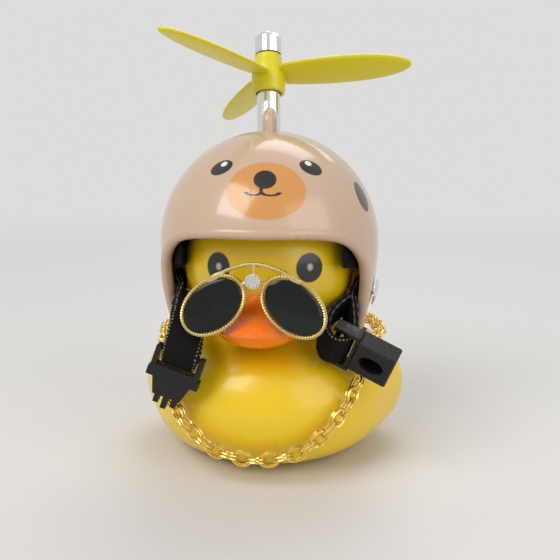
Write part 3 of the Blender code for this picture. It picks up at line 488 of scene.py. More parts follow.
class MeshBuilder:
    """Collects rings of points into one smooth-shaded object."""

    def __init__(self, name: str, marks: Sequence[str] = ()) -> None:
        """Start an empty mesh.

        Args:
            name: Name of the object to come.
            marks: Names of the numbers that its vertices carry.
        """
        self.name = name
        self.bm = bmesh.new()
        for mark in marks:
            self.bm.verts.layers.float.new(mark)
        self.rows: list[list[bmesh.types.BMVert]] = []

    def loft(self, rings: Sequence[Ring], closed: bool = False) -> "MeshBuilder":
        """Skin a row of rings; a ring of one point is a pole.

        Args:
            rings: The rings, in order.
            closed: Whether the last ring joins the first.

        Returns:
            This builder.
        """
        rows = [[self.bm.verts.new(point) for point in ring] for ring in rings]
        self.rows = rows
        pairs = list(zip(rows, rows[1:])) + ([(rows[-1], rows[0])] if closed else [])
        for low, high in pairs:
            count = max(len(low), len(high))
            for index in range(count):
                after = (index + 1) % count
                corners = [low[index % len(low)], low[after % len(low)]]
                corners += [high[after % len(high)], high[index % len(high)]]
                self.bm.faces.new(list(dict.fromkeys(corners)))
        for row in () if closed else (rows[0], rows[-1]):
            if len(row) > 2:
                self.bm.faces.new(row)
        return self

    def mark(self, name: str, values: Sequence[Sequence[float]]) -> "MeshBuilder":
        """Write a number on each vertex of the last loft.

        Args:
            name: The attribute's name.
            values: One row of numbers a ring.

        Returns:
            This builder.
        """
        layer = self.bm.verts.layers.float[name]
        for row, numbers in zip(self.rows, values):
            for vert, number in zip(row, numbers):
                vert[layer] = number
        return self

    def tube(self, points: Sequence[Vector], radius: float, sides: int, up: Sequence[float],
             closed: bool = False) -> "MeshBuilder":
        """Run a round wire along a path.

        Args:
            points: Its centre line.
            radius: Radius of the wire.
            sides: Corners of its section.
            up: Direction that keeps the section from twisting.
            closed: Whether the path returns to its start.

        Returns:
            This builder.
        """
        rings = []
        for point, along in zip(points, tangents(points, closed)):
            side = along.cross(Vector(up)).normalized()
            rise = side.cross(along)
            rings.append([point + side * x + rise * y for x, y in circle(radius, sides)])
        return self.loft(rings, closed)

    def lathe(self, profile: Sequence[tuple[float, float]], steps: int, matrix: Matrix) -> "MeshBuilder":
        """Turn an outline of radius and height about Z.

        Args:
            profile: The outline; it closes unless it has a zero radius, which is a pole.
            steps: Corners of each circle.
            matrix: Where the axis stands.

        Returns:
            This builder.
        """
        rings = []
        for radius, height in profile:
            ring = circle(radius, steps) if radius else [(0.0, 0.0)]
            rings.append([matrix @ Vector((x, y, height)) for x, y in ring])
        return self.loft(rings, closed=all(radius for radius, _ in profile))

    def finish(self, finish: bpy.types.Material, body: Body, replaced: Sequence[str] = (),
               slot: str = "", angle: float = 40.0) -> bpy.types.Object:
        """Make the object, give it its finish and let it ride.

        Args:
            finish: Its material.
            body: The CAD body it moves with.
            replaced: CAD nodes that it stands for.
            slot: The record's material slot; not used.
            angle: Edges sharper than this stay sharp.

        Returns:
            The object.
        """
        bmesh.ops.remove_doubles(self.bm, verts=self.bm.verts[:], dist=1e-7)
        bmesh.ops.recalc_face_normals(self.bm, faces=self.bm.faces[:])
        mesh = bpy.data.meshes.new(self.name)
        self.bm.to_mesh(mesh)
        self.bm.free()
        if angle:
            mesh.shade_smooth()
            mesh.set_sharp_from_angle(angle=math.radians(angle))
        mesh.materials.append(finish)
        made = bpy.data.objects.new(self.name, mesh)
        bpy.context.scene.collection.objects.link(made)
        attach(made, body.value)
        if replaced:
            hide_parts(*replaced)
        LOG.info("%s: %d faces", self.name, len(mesh.polygons))
        return made


class Nodes:
    """Adds nodes to the tree of a material or a world."""

    def __init__(self, tree: bpy.types.NodeTree) -> None:
        """Keep the tree.

        Args:
            tree: The tree.
        """
        self.nodes = tree.nodes
        self.links = tree.links

    def feed(self, socket: Socket, value: Value) -> None:
        """Link or write a value into a socket.

        Args:
            socket: The socket.
            value: Another node's output, or a plain value.
        """
        if isinstance(value, Socket):
            self.links.new(value, socket)
        else:
            socket.default_value = value

    def node(self, kind: str, inputs: dict[int | str, Value], output: int | str = 0,
             **settings: str) -> Socket:
        """Add a node.

        Args:
            kind: Its type, without the leading ShaderNode.
            inputs: What goes into each socket in use.
            output: The socket to give back.
            **settings: Its own settings.

        Returns:
            That socket.
        """
        made = self.nodes.new("ShaderNode" + kind)
        for name, setting in settings.items():
            setattr(made, name, setting)
        for name, value in inputs.items():
            self.feed(made.inputs[name], value)
        return made.outputs[output]

    def math(self, operation: str, a: Socket, b: Socket | float = 0.0) -> Socket:
        """Add a math node.

        Args:
            operation: Its operation.
            a: First input.
            b: Second input.

        Returns:
            Its output.
        """
        return self.node("Math", {0: a, 1: b}, operation=operation)

    def seen(self, *kinds: str) -> Socket:
        """Tell the rays that meet the plain background.

        Args:
            kinds: The kinds of ray that do, besides those from the camera.

        Returns:
            1 for those rays, else 0.
        """
        path = self.nodes.new("ShaderNodeLightPath").outputs
        met = path["Is Camera Ray"]
        for kind in kinds:
            met = self.math("MAXIMUM", met, path[f"Is {kind} Ray"])
        return met


class Shader(Nodes):
    """A Principled material and short ways to add a procedural look to it."""

    def __init__(self, name: str, colour: Colour, roughness: Sequence[float], metallic: float = 0.0,
                 coat: float = 0.0) -> None:
        """Make the material.

        Args:
            name: Its name.
            colour: Its base colour.
            roughness: One value, or the scale of a noise and the two ends of what it gives.
            metallic: 1 for a metal.
            coat: Weight of a clear coat.
        """
        self.material = bpy.data.materials.new(name)
        self.material.use_nodes = True
        super().__init__(self.material.node_tree)
        self.shader = self.nodes["Principled BSDF"]
        self.place = self.node("TexCoord", {}, "Object")
        self.set("Base Color", colour.opaque).set("Metallic", metallic)
        self.set("Coat Weight", coat).set("Coat Roughness", COAT_ROUGHNESS)
        if len(roughness) == 1:
            self.set("Roughness", roughness[0])
        else:
            scale, least, most = roughness
            self.set("Roughness", self.ramp(self.noise(scale), *NOISE_RANGE, least, most))

    def set(self, name: str, value: Value) -> "Shader":
        """Feed the Principled node.

        Args:
            name: Its socket.
            value: A link or a value.

        Returns:
            This shader.
        """
        self.feed(self.shader.inputs[name], value)
        return self

    def noise(self, scale: float, detail: float = 2.0) -> Socket:
        """Add a noise texture on Object coordinates.

        Args:
            scale: Its scale.
            detail: Its detail.

        Returns:
            Its value.
        """
        return self.node("TexNoise", {"Vector": self.place, "Scale": scale, "Detail": detail}, "Fac")

    def ramp(self, value: Socket, low: float, high: float, start: float = 0.0, end: float = 1.0) -> Socket:
        """Map a value from one range to another, smoothly.

        Args:
            value: The input.
            low: Start of its range.
            high: End of its range.
            start: Output at low.
            end: Output at high.

        Returns:
            The mapped value.
        """
        inputs = {"Value": value, "From Min": low, "From Max": high, "To Min": start, "To Max": end}
        return self.node("MapRange", inputs, "Result", interpolation_type="SMOOTHSTEP")

    def local(self, matrix: Matrix, radii: Sequence[float]) -> Socket:
        """Give the place in a field's own frame, in units of its radii.

        Args:
            matrix: The field's frame.
            radii: Its half sizes along X, Y and Z.

        Returns:
            The scaled position.
        """
        inputs = {"Vector": self.place, "Location": matrix.translation, "Rotation": matrix.to_euler("XYZ"),
                  "Scale": radii}
        return self.node("Mapping", inputs, "Vector", vector_type="TEXTURE")

    def length(self, vector: Socket) -> Socket:
        """Give a vector's length.

        Args:
            vector: The vector.

        Returns:
            Its length.
        """
        return self.node("VectorMath", {0: vector}, "Value", operation="LENGTH")

    def part(self, vector: Socket, axis: int) -> Socket:
        """Give one coordinate of a vector.

        Args:
            vector: The vector.
            axis: 0, 1 or 2.

        Returns:
            The coordinate.
        """
        return self.node("SeparateXYZ", {0: vector}, axis)

    def paint(self, mask: Socket, colour: Colour) -> "Shader":
        """Lay a colour over the base colour where a mask is 1.

        Args:
            mask: The mask.
            colour: The colour.

        Returns:
            This shader.
        """
        base = self.shader.inputs["Base Color"]
        under = base.links[0].from_socket if base.links else tuple(base.default_value)
        inputs = {"A": under, "B": colour.opaque, "Factor": mask}
        return self.set("Base Color", self.node("Mix", inputs, "Result", data_type="RGBA"))

    def fill(self, spot: Spot, matrix: Matrix) -> None:
        """Print a filled ellipse.

        Args:
            spot: The ellipse.
            matrix: Its frame.
        """
        away = self.length(self.local(matrix, spot.radii))
        self.paint(self.ramp(away, 1.0 - spot.edge, 1.0 + spot.edge, 1.0, 0.0), spot.colour)

    def line(self, spot: Spot, matrix: Matrix) -> None:
        """Print the lower half of an ellipse's outline.

        Args:
            spot: The ellipse.
            matrix: Its frame.
        """
        place = self.local(matrix, spot.radii)
        off = self.math("ABSOLUTE", self.math("SUBTRACT", self.length(place), 1.0))
        low, high = ((1.0 + sign * LINE_SOFTNESS) * spot.edge for sign in (-1, 1))
        drawn = self.ramp(off, low, high, 1.0, 0.0)
        below = self.ramp(self.part(place, 2), -LINE_CUT, LINE_CUT, 1.0, 0.0)
        self.paint(self.math("MULTIPLY", drawn, below), spot.colour)

    def bump(self, height: Socket, distance: float, strength: float) -> None:
        """Add a bump from a height.

        Args:
            height: The height.
            distance: Its depth in metres.
            strength: How much of it shows.
        """
        inputs = {"Height": height, "Distance": distance, "Strength": strength}
        self.set("Normal", self.node("Bump", inputs, "Normal"))


class HelmetForm:
    """The helmet's surface, shared by its mesh and its printed face."""

    def __init__(self, sizes: HelmetSizes) -> None:
        """Place the helmet.

        Args:
            sizes: Its sizes.
        """
        self.sizes = sizes
        self.matrix = placed(sizes.centre, (-sizes.lean, 0.0, 0.0))
        knots = [(math.radians(turn), height, 0.0) for turn, height in sizes.rim]
        self.rim = smooth_path(knots, sizes.rim_steps)

    def rim_height(self, turn: float) -> float:
        """Give the rim's height at a turn from the front.

        Args:
            turn: The turn, in radians.

        Returns:
            Height in the helmet's frame.
        """
        turn = abs(math.remainder(turn, FULL_TURN))
        for low, high in zip(self.rim, self.rim[1:]):
            if turn <= high.x:
                return low.y + (high.y - low.y) * (turn - low.x) / (high.x - low.x)
        return self.rim[-1].y

    def point(self, turn: float, height: float, inset: float) -> Vector:
        """Give a point of the wall.

        Args:
            turn: Turn from the front, in radians.
            height: Height in the helmet's frame.
            inset: Depth under the outer face.

        Returns:
            The point in the row frame.
        """
        reach = (self.sizes.rise if height >= 0 else self.sizes.skirt) - inset
        share = math.sqrt(max(1.0 - (height / reach) ** 2, 0.0))
        flat = Vector(((self.sizes.half_width - inset) * share * math.sin(turn),
                       -(self.sizes.half_depth - inset) * share * math.cos(turn), height))
        return self.matrix @ flat

    def tangent_frame(self, local: Sequence[float], roll: float = 0.0) -> Matrix:
        """Give a frame on the dome: X to the side, Y into the shell, Z up along it.

        Args:
            local: A point in the helmet's frame.
            roll: Turn about the way out, in degrees.

        Returns:
            The frame in the row frame.
        """
        s = self.sizes
        halves = (s.half_width, s.half_depth, s.rise)
        outward = Vector([place / half ** 2 for place, half in zip(local, halves)]).normalized()
        across = Vector(UP).cross(outward).normalized()
        basis = Matrix((across, -outward, across.cross(-outward))).transposed().to_4x4()
        spin = Matrix.Rotation(math.radians(roll), 4, "Y")
        return self.matrix @ Matrix.Translation(local) @ basis @ spin


class Finishes:
    """Every material of the object."""

    def __init__(self, helmet: HelmetForm) -> None:
        """Make the materials.

        Args:
            helmet: Carries the printed face.
        """
        self.vinyl = self.make_vinyl()
        self.beak = Shader("beak orange", Colour.BEAK, (300.0, 0.18, 0.3), coat=0.4)
        self.helmet = self.make_helmet(helmet)
        self.rim = Shader("helmet rim", Colour.RIM, (200.0, 0.18, 0.3), coat=0.3)
        self.foam = Shader("liner foam", Colour.FOAM, (0.95,)).set(SPECULAR, 0.1)
        self.foam.bump(self.foam.noise(2500.0), 0.0003, 0.6)
        self.chrome = Shader("polished chrome", Colour.CHROME, (250.0, 0.05, 0.14), metallic=1.0)
        self.lemon = Shader("propeller lemon", Colour.LEMON, (400.0, 0.32, 0.46), coat=0.15)
        self.webbing = self.make_webbing()
        self.buckle = self.make_buckle()
        self.wire = Shader("frame gold", Colour.WIRE, (900.0, 0.2, 0.36), metallic=1.0)
        self.lens = self.make_lens()
        self.crystal = Shader("crystal", Colour.CRYSTAL, (700.0, 0.01, 0.05))
        self.crystal.set("Transmission Weight", 0.7).set("IOR", 1.6)
        self.gold = Shader("chain gold", Colour.GOLD, (900.0, 0.12, 0.28), metallic=1.0)
        self.squeaker = Shader("squeaker plastic", Colour.SQUEAKER, (500.0, 0.35, 0.5))

    @staticmethod
    def make_vinyl() -> Shader:
        """Make the yellow vinyl with the printed eyes.

        Returns:
            The material.
        """
        made = Shader("duck vinyl", Colour.VINYL, (0.3,), coat=0.25)
        made.set("Subsurface Weight", 0.12).set("Subsurface Radius", (0.004, 0.003, 0.0005))
        made.bump(made.noise(60.0, 1.0), 0.0004, 0.3)
        for eye in EYES:
            out = Vector((eye.at[0], eye.at[1], 0.0)).normalized()
            basis = Matrix((Vector((-out.y, out.x, 0.0)), -out, Vector(UP))).transposed().to_4x4()
            made.fill(eye, Matrix.Translation(eye.at) @ basis)
            for glint in GLINTS:
                made.fill(glint, Matrix.Translation(Vector(eye.at) + Vector(glint.at)) @ basis)
        return made

    @staticmethod
    def make_helmet(form: HelmetForm) -> Shader:
        """Make the beige plastic with the printed bear face and a moulding seam.

        Args:
            form: The helmet's surface.

        Returns:
            The material.
        """
        made = Shader("helmet print", Colour.HELMET, (180.0, 0.16, 0.26), coat=0.4)
        for spot in FACE:
            made.fill(spot, form.tangent_frame(spot.at, spot.roll))
        for spot in MOUTH:
            made.line(spot, form.tangent_frame(spot.at))
        seam = form.matrix @ Matrix.Rotation(math.radians(-6.0), 4, "Y")
        across = made.math("ABSOLUTE", made.part(made.local(seam, (1.0, 1.0, 1.0)), 0))
        made.bump(made.ramp(across, 0.0001, 0.00035), 0.0002, 0.5)
        return made

    @staticmethod
    def make_buckle() -> Shader:
        """Make the black plastic of the buckle, with a painted sheen in speckles on its upward faces.

        Returns:
            The material.
        """
        made = Shader("buckle plastic", Colour.BUCKLE, (1500.0, 0.22, 0.42)).set(SPECULAR, 0.35)
        # Upward faces get a painted blue-grey sheen, broken into speckles by noise.
        top = made.ramp(made.part(made.node("NewGeometry", {}, "Normal"), 2), 0.55, 0.8)
        sheen_speckles = made.ramp(made.noise(3200.0), 0.60, 0.75)
        return made.paint(made.math("MULTIPLY", sheen_speckles, top), Colour.TOP_SHEEN)

    @staticmethod
    def make_webbing() -> Shader:
        """Make the black webbing, with painted pale highlights in ticks along its edges.

        Returns:
            The material.
        """
        made = Shader("black webbing", Colour.WEBBING, (0.85,)).set(SPECULAR, 0.15)
        edge, along = (made.node("Attribute", {}, "Fac", attribute_name=name) for name in BAND_MARKS)
        border = made.math("MULTIPLY", made.ramp(edge, 0.15, 0.30), made.ramp(edge, 0.90, 0.98, 1.0, 0.0))
        # Pale ticks along the band's edges are painted highlights on the weave.
        highlight_ticks = made.math("MULTIPLY", border, made.ramp(made.math("SINE", along), -0.1, 0.3))
        made.bump(made.noise(5200.0), 0.0002, 0.5)
        return made.paint(highlight_ticks, Colour.EDGE_HIGHLIGHT)

    @staticmethod
    def make_lens() -> Shader:
        """Make the near-black lens with a painted greenish reflection low on it.

        Returns:
            The material.
        """
        made = Shader("dark lens", Colour.LENS, (0.05,)).set(SPECULAR, 0.3)
        # The lower part of each lens gets a painted greenish reflection, in patches.
        low = made.ramp(made.part(made.place, 2), 0.046, 0.058, 1.0, 0.0)
        cloud = made.ramp(made.noise(120.0), 0.4, 0.6)
        return made.paint(made.math("MULTIPLY", low, cloud), Colour.LENS_REFLECTION)


@dataclass(frozen=True)
class DuckForm:
    """The duck's surface, shared by its mesh and the chain that lies on it."""

    sizes: DuckSizes

    def sections(self, per_span: int) -> Rows:
        """List smooth sections from the base to the crown.

        Args:
            per_span: Steps between two of the given angles.

        Returns:
            Rows of height, half width, middle and half depth.
        """
        s = self.sizes
        middle, half_depth = (s.back - s.front) / 2, (s.back + s.front) / 2
        drop = s.belly_height / -math.sin(math.radians(s.belly_angles[0]))
        rows = []
        for angle in s.belly_angles:
            turn = math.radians(angle)
            spread = math.cos(turn) ** (s.belly_fullness if angle < 0 else s.shoulder_fullness)
            reach = drop if angle < 0 else s.shoulder_rise
            height = s.belly_height + reach * math.sin(turn)
            rows.append((height, spread * s.half_width, middle, spread * half_depth))
        for angle in s.head_angles:
            turn = math.radians(angle)
            radius = s.head_radius * math.cos(turn)
            rows.append((s.head_height + s.head_half_height * math.sin(turn), radius, 0.0, radius))
        smooth = smooth_path([row[:3] for row in rows], per_span)
        depths = smooth_path([(row[3], 0.0, 0.0) for row in rows], per_span)
        return [(*row, depth.x) for row, depth in zip(smooth, depths)]

    def swell(self, point: Vector) -> Vector:
        """Add the wings and the tail to a point of the plain body.

        Args:
            point: A point of the plain body.

        Returns:
            The point of the duck.
        """
        s = self.sizes
        side = fade(abs(point.x), s.wing_start * s.half_width, s.swell_full * s.half_width)
        along = (point.y - s.wing_y) / s.wing_length
        up = (point.z - s.wing_height - s.wing_slope * (point.y - s.wing_y)) / s.wing_depth
        wing = s.wing_swell * side * math.exp(-along ** 4 - up ** 4)
        back = fade(point.y, s.tail_start * s.back, s.swell_full * s.back)
        rise = (point.z - s.tail_height) / s.tail_depth
        tail = back * math.exp(-rise ** 2 - (point.x / s.tail_half_width) ** 2)
        return point + Vector((math.copysign(wing, point.x), s.tail_reach * tail, s.tail_rise * tail))

    def above(self, turn: float, height: float, standoff: float, rows: Rows) -> Vector:
        """Give a point off the duck's side.

        Args:
            turn: Turn from the front, in radians.
            height: Height of the point under it.
            standoff: Distance off the surface.
            rows: The duck's sections.

        Returns:
            The point.
        """
        below = max((row for row in rows if row[0] <= height), key=lambda row: row[0])
        over = min((row for row in rows if row[0] > height), key=lambda row: row[0])
        t = (height - below[0]) / (over[0] - below[0])
        half_width, middle, half_depth = (below[i] + t * (over[i] - below[i]) for i in (1, 2, 3))
        x, y = math.sin(turn), -math.cos(turn)
        slope = (over[1] - below[1]) / (over[0] - below[0])
        outward = Vector((x / half_width, y / half_depth, 0.0)).normalized()
        outward = Vector((outward.x, outward.y, -slope)).normalized()
        return self.swell(Vector((half_width * x, middle + half_depth * y, height))) + outward * standoff

    def build(self, finishes: Finishes) -> None:
        """Build the body and the beak.

        Args:
            finishes: The materials.
        """
        s = self.sizes
        rings = []
        for height, half_width, middle, half_depth in self.sections(s.steps):
            rings.append([self.swell(Vector((half_width * x, middle + half_depth * y, height)))
                          for x, y in circle(1.0, s.segments)])
        rings.append([Vector((0.0, 0.0, s.head_height + s.head_half_height))])
        body = MeshBuilder("duck_vinyl_body").loft(rings)
        body.finish(finishes.vinyl.material, Body.DUCK, ("duck_body",), "duck_vinyl")
        beak = MeshBuilder("duck_beak")
        bmesh.ops.create_uvsphere(beak.bm, u_segments=s.beak_segments, v_segments=s.beak_rings, radius=1.0)
        root = math.sqrt(s.head_radius ** 2 - s.beak_half_width ** 2)
        for vert in beak.bm.verts:
            vert.co = self.beak_point(vert.co, root)
        beak.finish(finishes.beak.material, Body.DUCK)

    def beak_point(self, unit: Vector, root: float) -> Vector:
        """Shape one point of a unit ball into the beak.

        Args:
            unit: The point of the ball.
            root: Where the beak leaves the head.

        Returns:
            The point of the beak.
        """
        s = self.sizes
        x, y, z = unit
        high = max(z, 0.0)
        rise = s.beak_upper if z > 0 else s.beak_lower
        reach = s.beak_reach + s.head_radius - root if y < 0 else s.beak_back
        lean = s.beak_lean * s.beak_reach * high * (y < 0)
        lip = s.lip * math.exp(-((z - s.lip_height) / s.lip_spread) ** 2) * max(-y, 0.0)
        return Vector((x * s.beak_half_width * (1.0 - s.beak_taper * high),
                       -root + y * reach * (1.0 - s.beak_ridge * high) + lean - lip,
                       s.beak_height + z * rise))


def fade(value: float, low: float, high: float) -> float:
    """Step smoothly from 0 to 1.

    Args:
        value: The input.
        low: Where it starts to rise.
        high: Where it reaches 1.

    Returns:
        The step.
    """
    t = min(max((value - low) / (high - low), 0.0), 1.0)
    return t * t * (3 - 2 * t)


class Helmet:
    """The moulded shell, its rolled rim, the hanging loop and the foam."""

    def __init__(self, form: HelmetForm) -> None:
        """Keep the helmet's surface.

        Args:
            form: The surface.
        """
        self.form = form
        self.turns = [FULL_TURN * index / form.sizes.segments for index in range(form.sizes.segments)]

    def build(self, finishes: Finishes) -> None:
        """Build every piece of the helmet.

        Args:
            finishes: The materials.
        """
        form, s = self.form, self.form.sizes
        shares = [step / s.rows for step in range(s.rows)]
        outer, inner = ([self.row(share, inset) for share in shares] for inset in (0.0, s.wall))
        top, ceiling = ([form.point(0.0, s.rise - inset, inset)] for inset in (0.0, s.wall))
        shell = MeshBuilder("helmet_printed_shell").loft([top] + outer[::-1] + inner + [ceiling])
        self.add_loop(shell)
        shell.finish(finishes.helmet.material, Body.DUCK, ("helmet_shell",), "helmet_plastic")
        path = [form.point(turn, form.rim_height(turn), s.wall / 2) for turn in self.turns]
        rim = MeshBuilder("helmet_rolled_rim").tube(path, s.bead, s.bead_sides, s.bead_up, closed=True)
        rim.finish(finishes.rim.material, Body.DUCK)
        self.build_liner(finishes)

    def row(self, share: float, inset: float) -> Ring:
        """Give one row of the wall, from the rim at 0 towards the crown at 1.

        Args:
            share: How far up the row lies.
            inset: Depth under the outer face.

        Returns:
            The row's points.
        """
        s = self.form.sizes
        ring = []
        for turn in self.turns:
            low = self.form.rim_height(turn)
            start = math.asin(low / ((s.rise if low >= 0 else s.skirt) - inset))
            angle = start + (math.pi / 2 - start) * share
            height = math.sin(angle) * ((s.rise if angle >= 0 else s.skirt) - inset)
            ring.append(self.form.point(turn, height, inset))
        return ring

    def add_loop(self, shell: MeshBuilder) -> None:
        """Add the hanging loop on the crown.

        Args:
            shell: The shell under construction.
        """
        s = self.form.sizes
        span, floor = s.loop_half_span, s.rise - s.wall
        springing = s.rise + s.loop_stand - span
        arc = [math.pi * step / s.loop_steps for step in range(s.loop_steps + 1)]
        points = [(0.0, s.loop_y - span, floor)]
        points += [(0.0, s.loop_y - span * math.cos(a), springing + span * math.sin(a)) for a in arc]
        points += [(0.0, s.loop_y + span, floor)]
        placed_points = [self.form.matrix @ Vector(point) for point in points]
        shell.tube(placed_points, s.loop_radius, s.loop_sides, (1.0, 0.0, 0.0))

    @staticmethod
    def build_liner(finishes: Finishes) -> None:
        """Copy the foam cap and make it look soft.

        Args:
            finishes: The materials.
        """
        foam = MeshBuilder("helmet_foam")
        foam.bm.from_mesh(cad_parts["helmet_liner"].data)
        bmesh.ops.remove_doubles(foam.bm, verts=foam.bm.verts[:], dist=10 * WELD_DISTANCE)
        made = foam.finish(finishes.foam.material, Body.DUCK, ("helmet_liner",), "liner_foam")
        bevel = made.modifiers.new("soft edges", "BEVEL")
        bevel.width = 0.0002
        bevel.segments = 2


class Propeller:
    """The hub and its blades."""

    def __init__(self, sizes: PropellerSizes, centre: Sequence[float]) -> None:
        """Place the propeller's axis.

        Args:
            sizes: Its sizes.
            centre: Centre of the helmet's dome.
        """
        self.sizes = sizes
        rise = Matrix.Translation((0.0, 0.0, sizes.hub_bottom + sizes.hub_height / 2))
        spin = Matrix.Rotation(math.radians(sizes.turn), 4, "Z")
        self.matrix = placed(centre, (-sizes.lean, sizes.roll, 0.0)) @ rise @ spin

    def build(self, finishes: Finishes) -> None:
        """Build the moulding.

        Args:
            finishes: The materials.
        """
        s = self.sizes
        bore, socket = s.spindle + s.running_gap, s.post + s.running_gap
        base = -s.hub_height / 2
        profile = [(bore, base + s.socket_depth), (socket, base + s.socket_depth), (socket, base)]
        profile += [(radius, base + share * s.hub_height) for radius, share in s.hub_outline]
        profile.append((bore, base + s.hub_height))
        moulding = MeshBuilder("propeller_moulding").lathe(profile, s.hub_segments, self.matrix)
        for index in range(s.blades):
            self.add_blade(moulding, self.matrix @ Matrix.Rotation(FULL_TURN * index / s.blades, 4, "Z"))
        moulding.finish(finishes.lemon.material, Body.ROTOR, ("propeller",), "propeller_plastic")

    def chord(self, reach: float) -> float:
        """Give the blade's chord at a distance from the axis.

        Args:
            reach: The distance.

        Returns:
            The chord.
        """
        s = self.sizes
        if reach < s.widest:
            return s.chord * (1.0 - s.root_narrowing * ((s.widest - reach) / (s.widest - s.root)) ** 2)
        share = (reach - s.widest) / (s.reach - s.widest)
        return s.chord * math.sqrt(max(1.0 - share ** s.tip_fullness, 0.0))

    def add_blade(self, moulding: MeshBuilder, matrix: Matrix) -> None:
        """Add one pitched paddle.

        Args:
            moulding: The propeller under construction.
            matrix: Frame with the blade along X.
        """
        s = self.sizes
        pitched = matrix @ Matrix.Rotation(math.radians(-s.pitch), 4, "X")
        rings = [[matrix @ Vector((s.root, 0.0, 0.0))]]
        for step in range(1, s.blade_steps):
            reach = s.root + (s.reach - s.root) * math.sin(math.pi / 2 * step / s.blade_steps)
            half = self.chord(reach) / 2
            thick = s.thickness / 2 * (s.thinnest + s.thickening * half / s.chord)
            rings.append([pitched @ Vector((reach, half * x, thick * math.copysign(abs(y) ** s.bluntness, y)))
                          for x, y in circle(1.0, s.blade_sides)])
        rings.append([matrix @ Vector((s.reach, 0.0, 0.0))])
        moulding.loft(rings)


@dataclass(frozen=True)
class Straps:
    """Both webbing straps, hung from the helmet's rivets."""

    sizes: StrapSizes
    helmet: HelmetForm

    def build(self, finishes: Finishes) -> None:
        """Build both straps.

        Args:
            finishes: The materials.
        """
        s = self.sizes
        flat_loop = [((x, y, 0.0), UP) for x, y in s.socket_loop]
        for side, place, loop, knees in ((Side.LEFT, s.socket_place, flat_loop, []),
                                         (Side.RIGHT, s.plug_place, s.plug_loop, [s.knee])):
            buckle = placed(*place)
            turned = buckle.to_3x3()
            laid = [(buckle @ Vector(point), turned @ Vector(across)) for point, across in loop]
            word = side.name.lower()
            strap = MeshBuilder("webbing_" + word, BAND_MARKS)
            self.add_tab(strap, side, knees + laid[:1])
            self.add_band(strap, [row[0] for row in laid], [row[1] for row in laid], closed=True)
            strap.finish(finishes.webbing.material, Body.DUCK, ("strap_" + word,), "webbing", angle=60.0)

    def add_tab(self, strap: MeshBuilder, side: Side, tab: Sequence[tuple]) -> None:
        """Add the band from under the rivet to the loop.

        Args:
            strap: The strap under construction.
            side: Which strap.
            tab: Points, each with the way the width runs.
        """
        s, sizes = self.sizes, self.helmet.sizes
        height = sizes.rivet_height
        share = math.sqrt(1.0 - (height / sizes.skirt) ** 2)
        local = Vector((side.value * sizes.half_width * share, 0.0, height))
        slope = Vector((local.x / sizes.half_width ** 2, 0.0, local.z / sizes.skirt ** 2)).normalized()
        outward = (self.helmet.matrix.to_3x3() @ slope).normalized()
        anchor = self.helmet.matrix @ local - outward * (sizes.wall + s.setback + s.sewn_depth)
        forward = Vector((0.0, -1.0, 0.0))
        forward = (forward - outward * forward.dot(outward)).normalized() * s.tail
        upright = forward.cross(outward).normalized() * side.value
        bow = outward * s.bow
        points = [anchor - forward - bow, anchor, anchor + forward - bow] + [row[0] for row in tab]
        self.add_band(strap, points, [upright] * 3 + [row[1] for row in tab], closed=False)

    def add_band(self, strap: MeshBuilder, points: Sequence[Sequence[float]],
                 widths: Sequence[Sequence[float]], closed: bool) -> None:
        """Add ribbed webbing along a path.

        Args:
            strap: The strap under construction.
            points: The path.
            widths: The way the width runs at each point.
            closed: Whether the path returns to its start.
        """
        s = self.sizes
        path = smooth_path(points, s.steps, closed)
        sides = smooth_path(widths, s.steps, closed)
        rings = []
        phases = []
        travelled = 0.0
        for index, (point, along, across) in enumerate(zip(path, tangents(path, closed), sides)):
            if index:
                travelled += (point - path[index - 1]).length
            face = along.cross(across).normalized()
            across = face.cross(along).normalized()
            rib = abs(math.sin(math.pi * travelled / s.rib_pitch))
            half = s.width / 2 * (1.0 - s.rib_narrowing * s.rib_depth * (1.0 - rib))
            lift = s.thickness / 2 * (1.0 - s.rib_depth * (1.0 - rib))
            rings.append([point + across * half * x + face * lift * y for x, y in s.section])
            phases.append([FULL_TURN * travelled / s.highlight_pitch] * len(s.section))
        strap.loft(rings, closed)
        edges = [[float(abs(x) == 1.0) for x, _ in s.section]] * len(rings)
        for name, values in zip(BAND_MARKS, (edges, phases)):
            strap.mark(name, values)


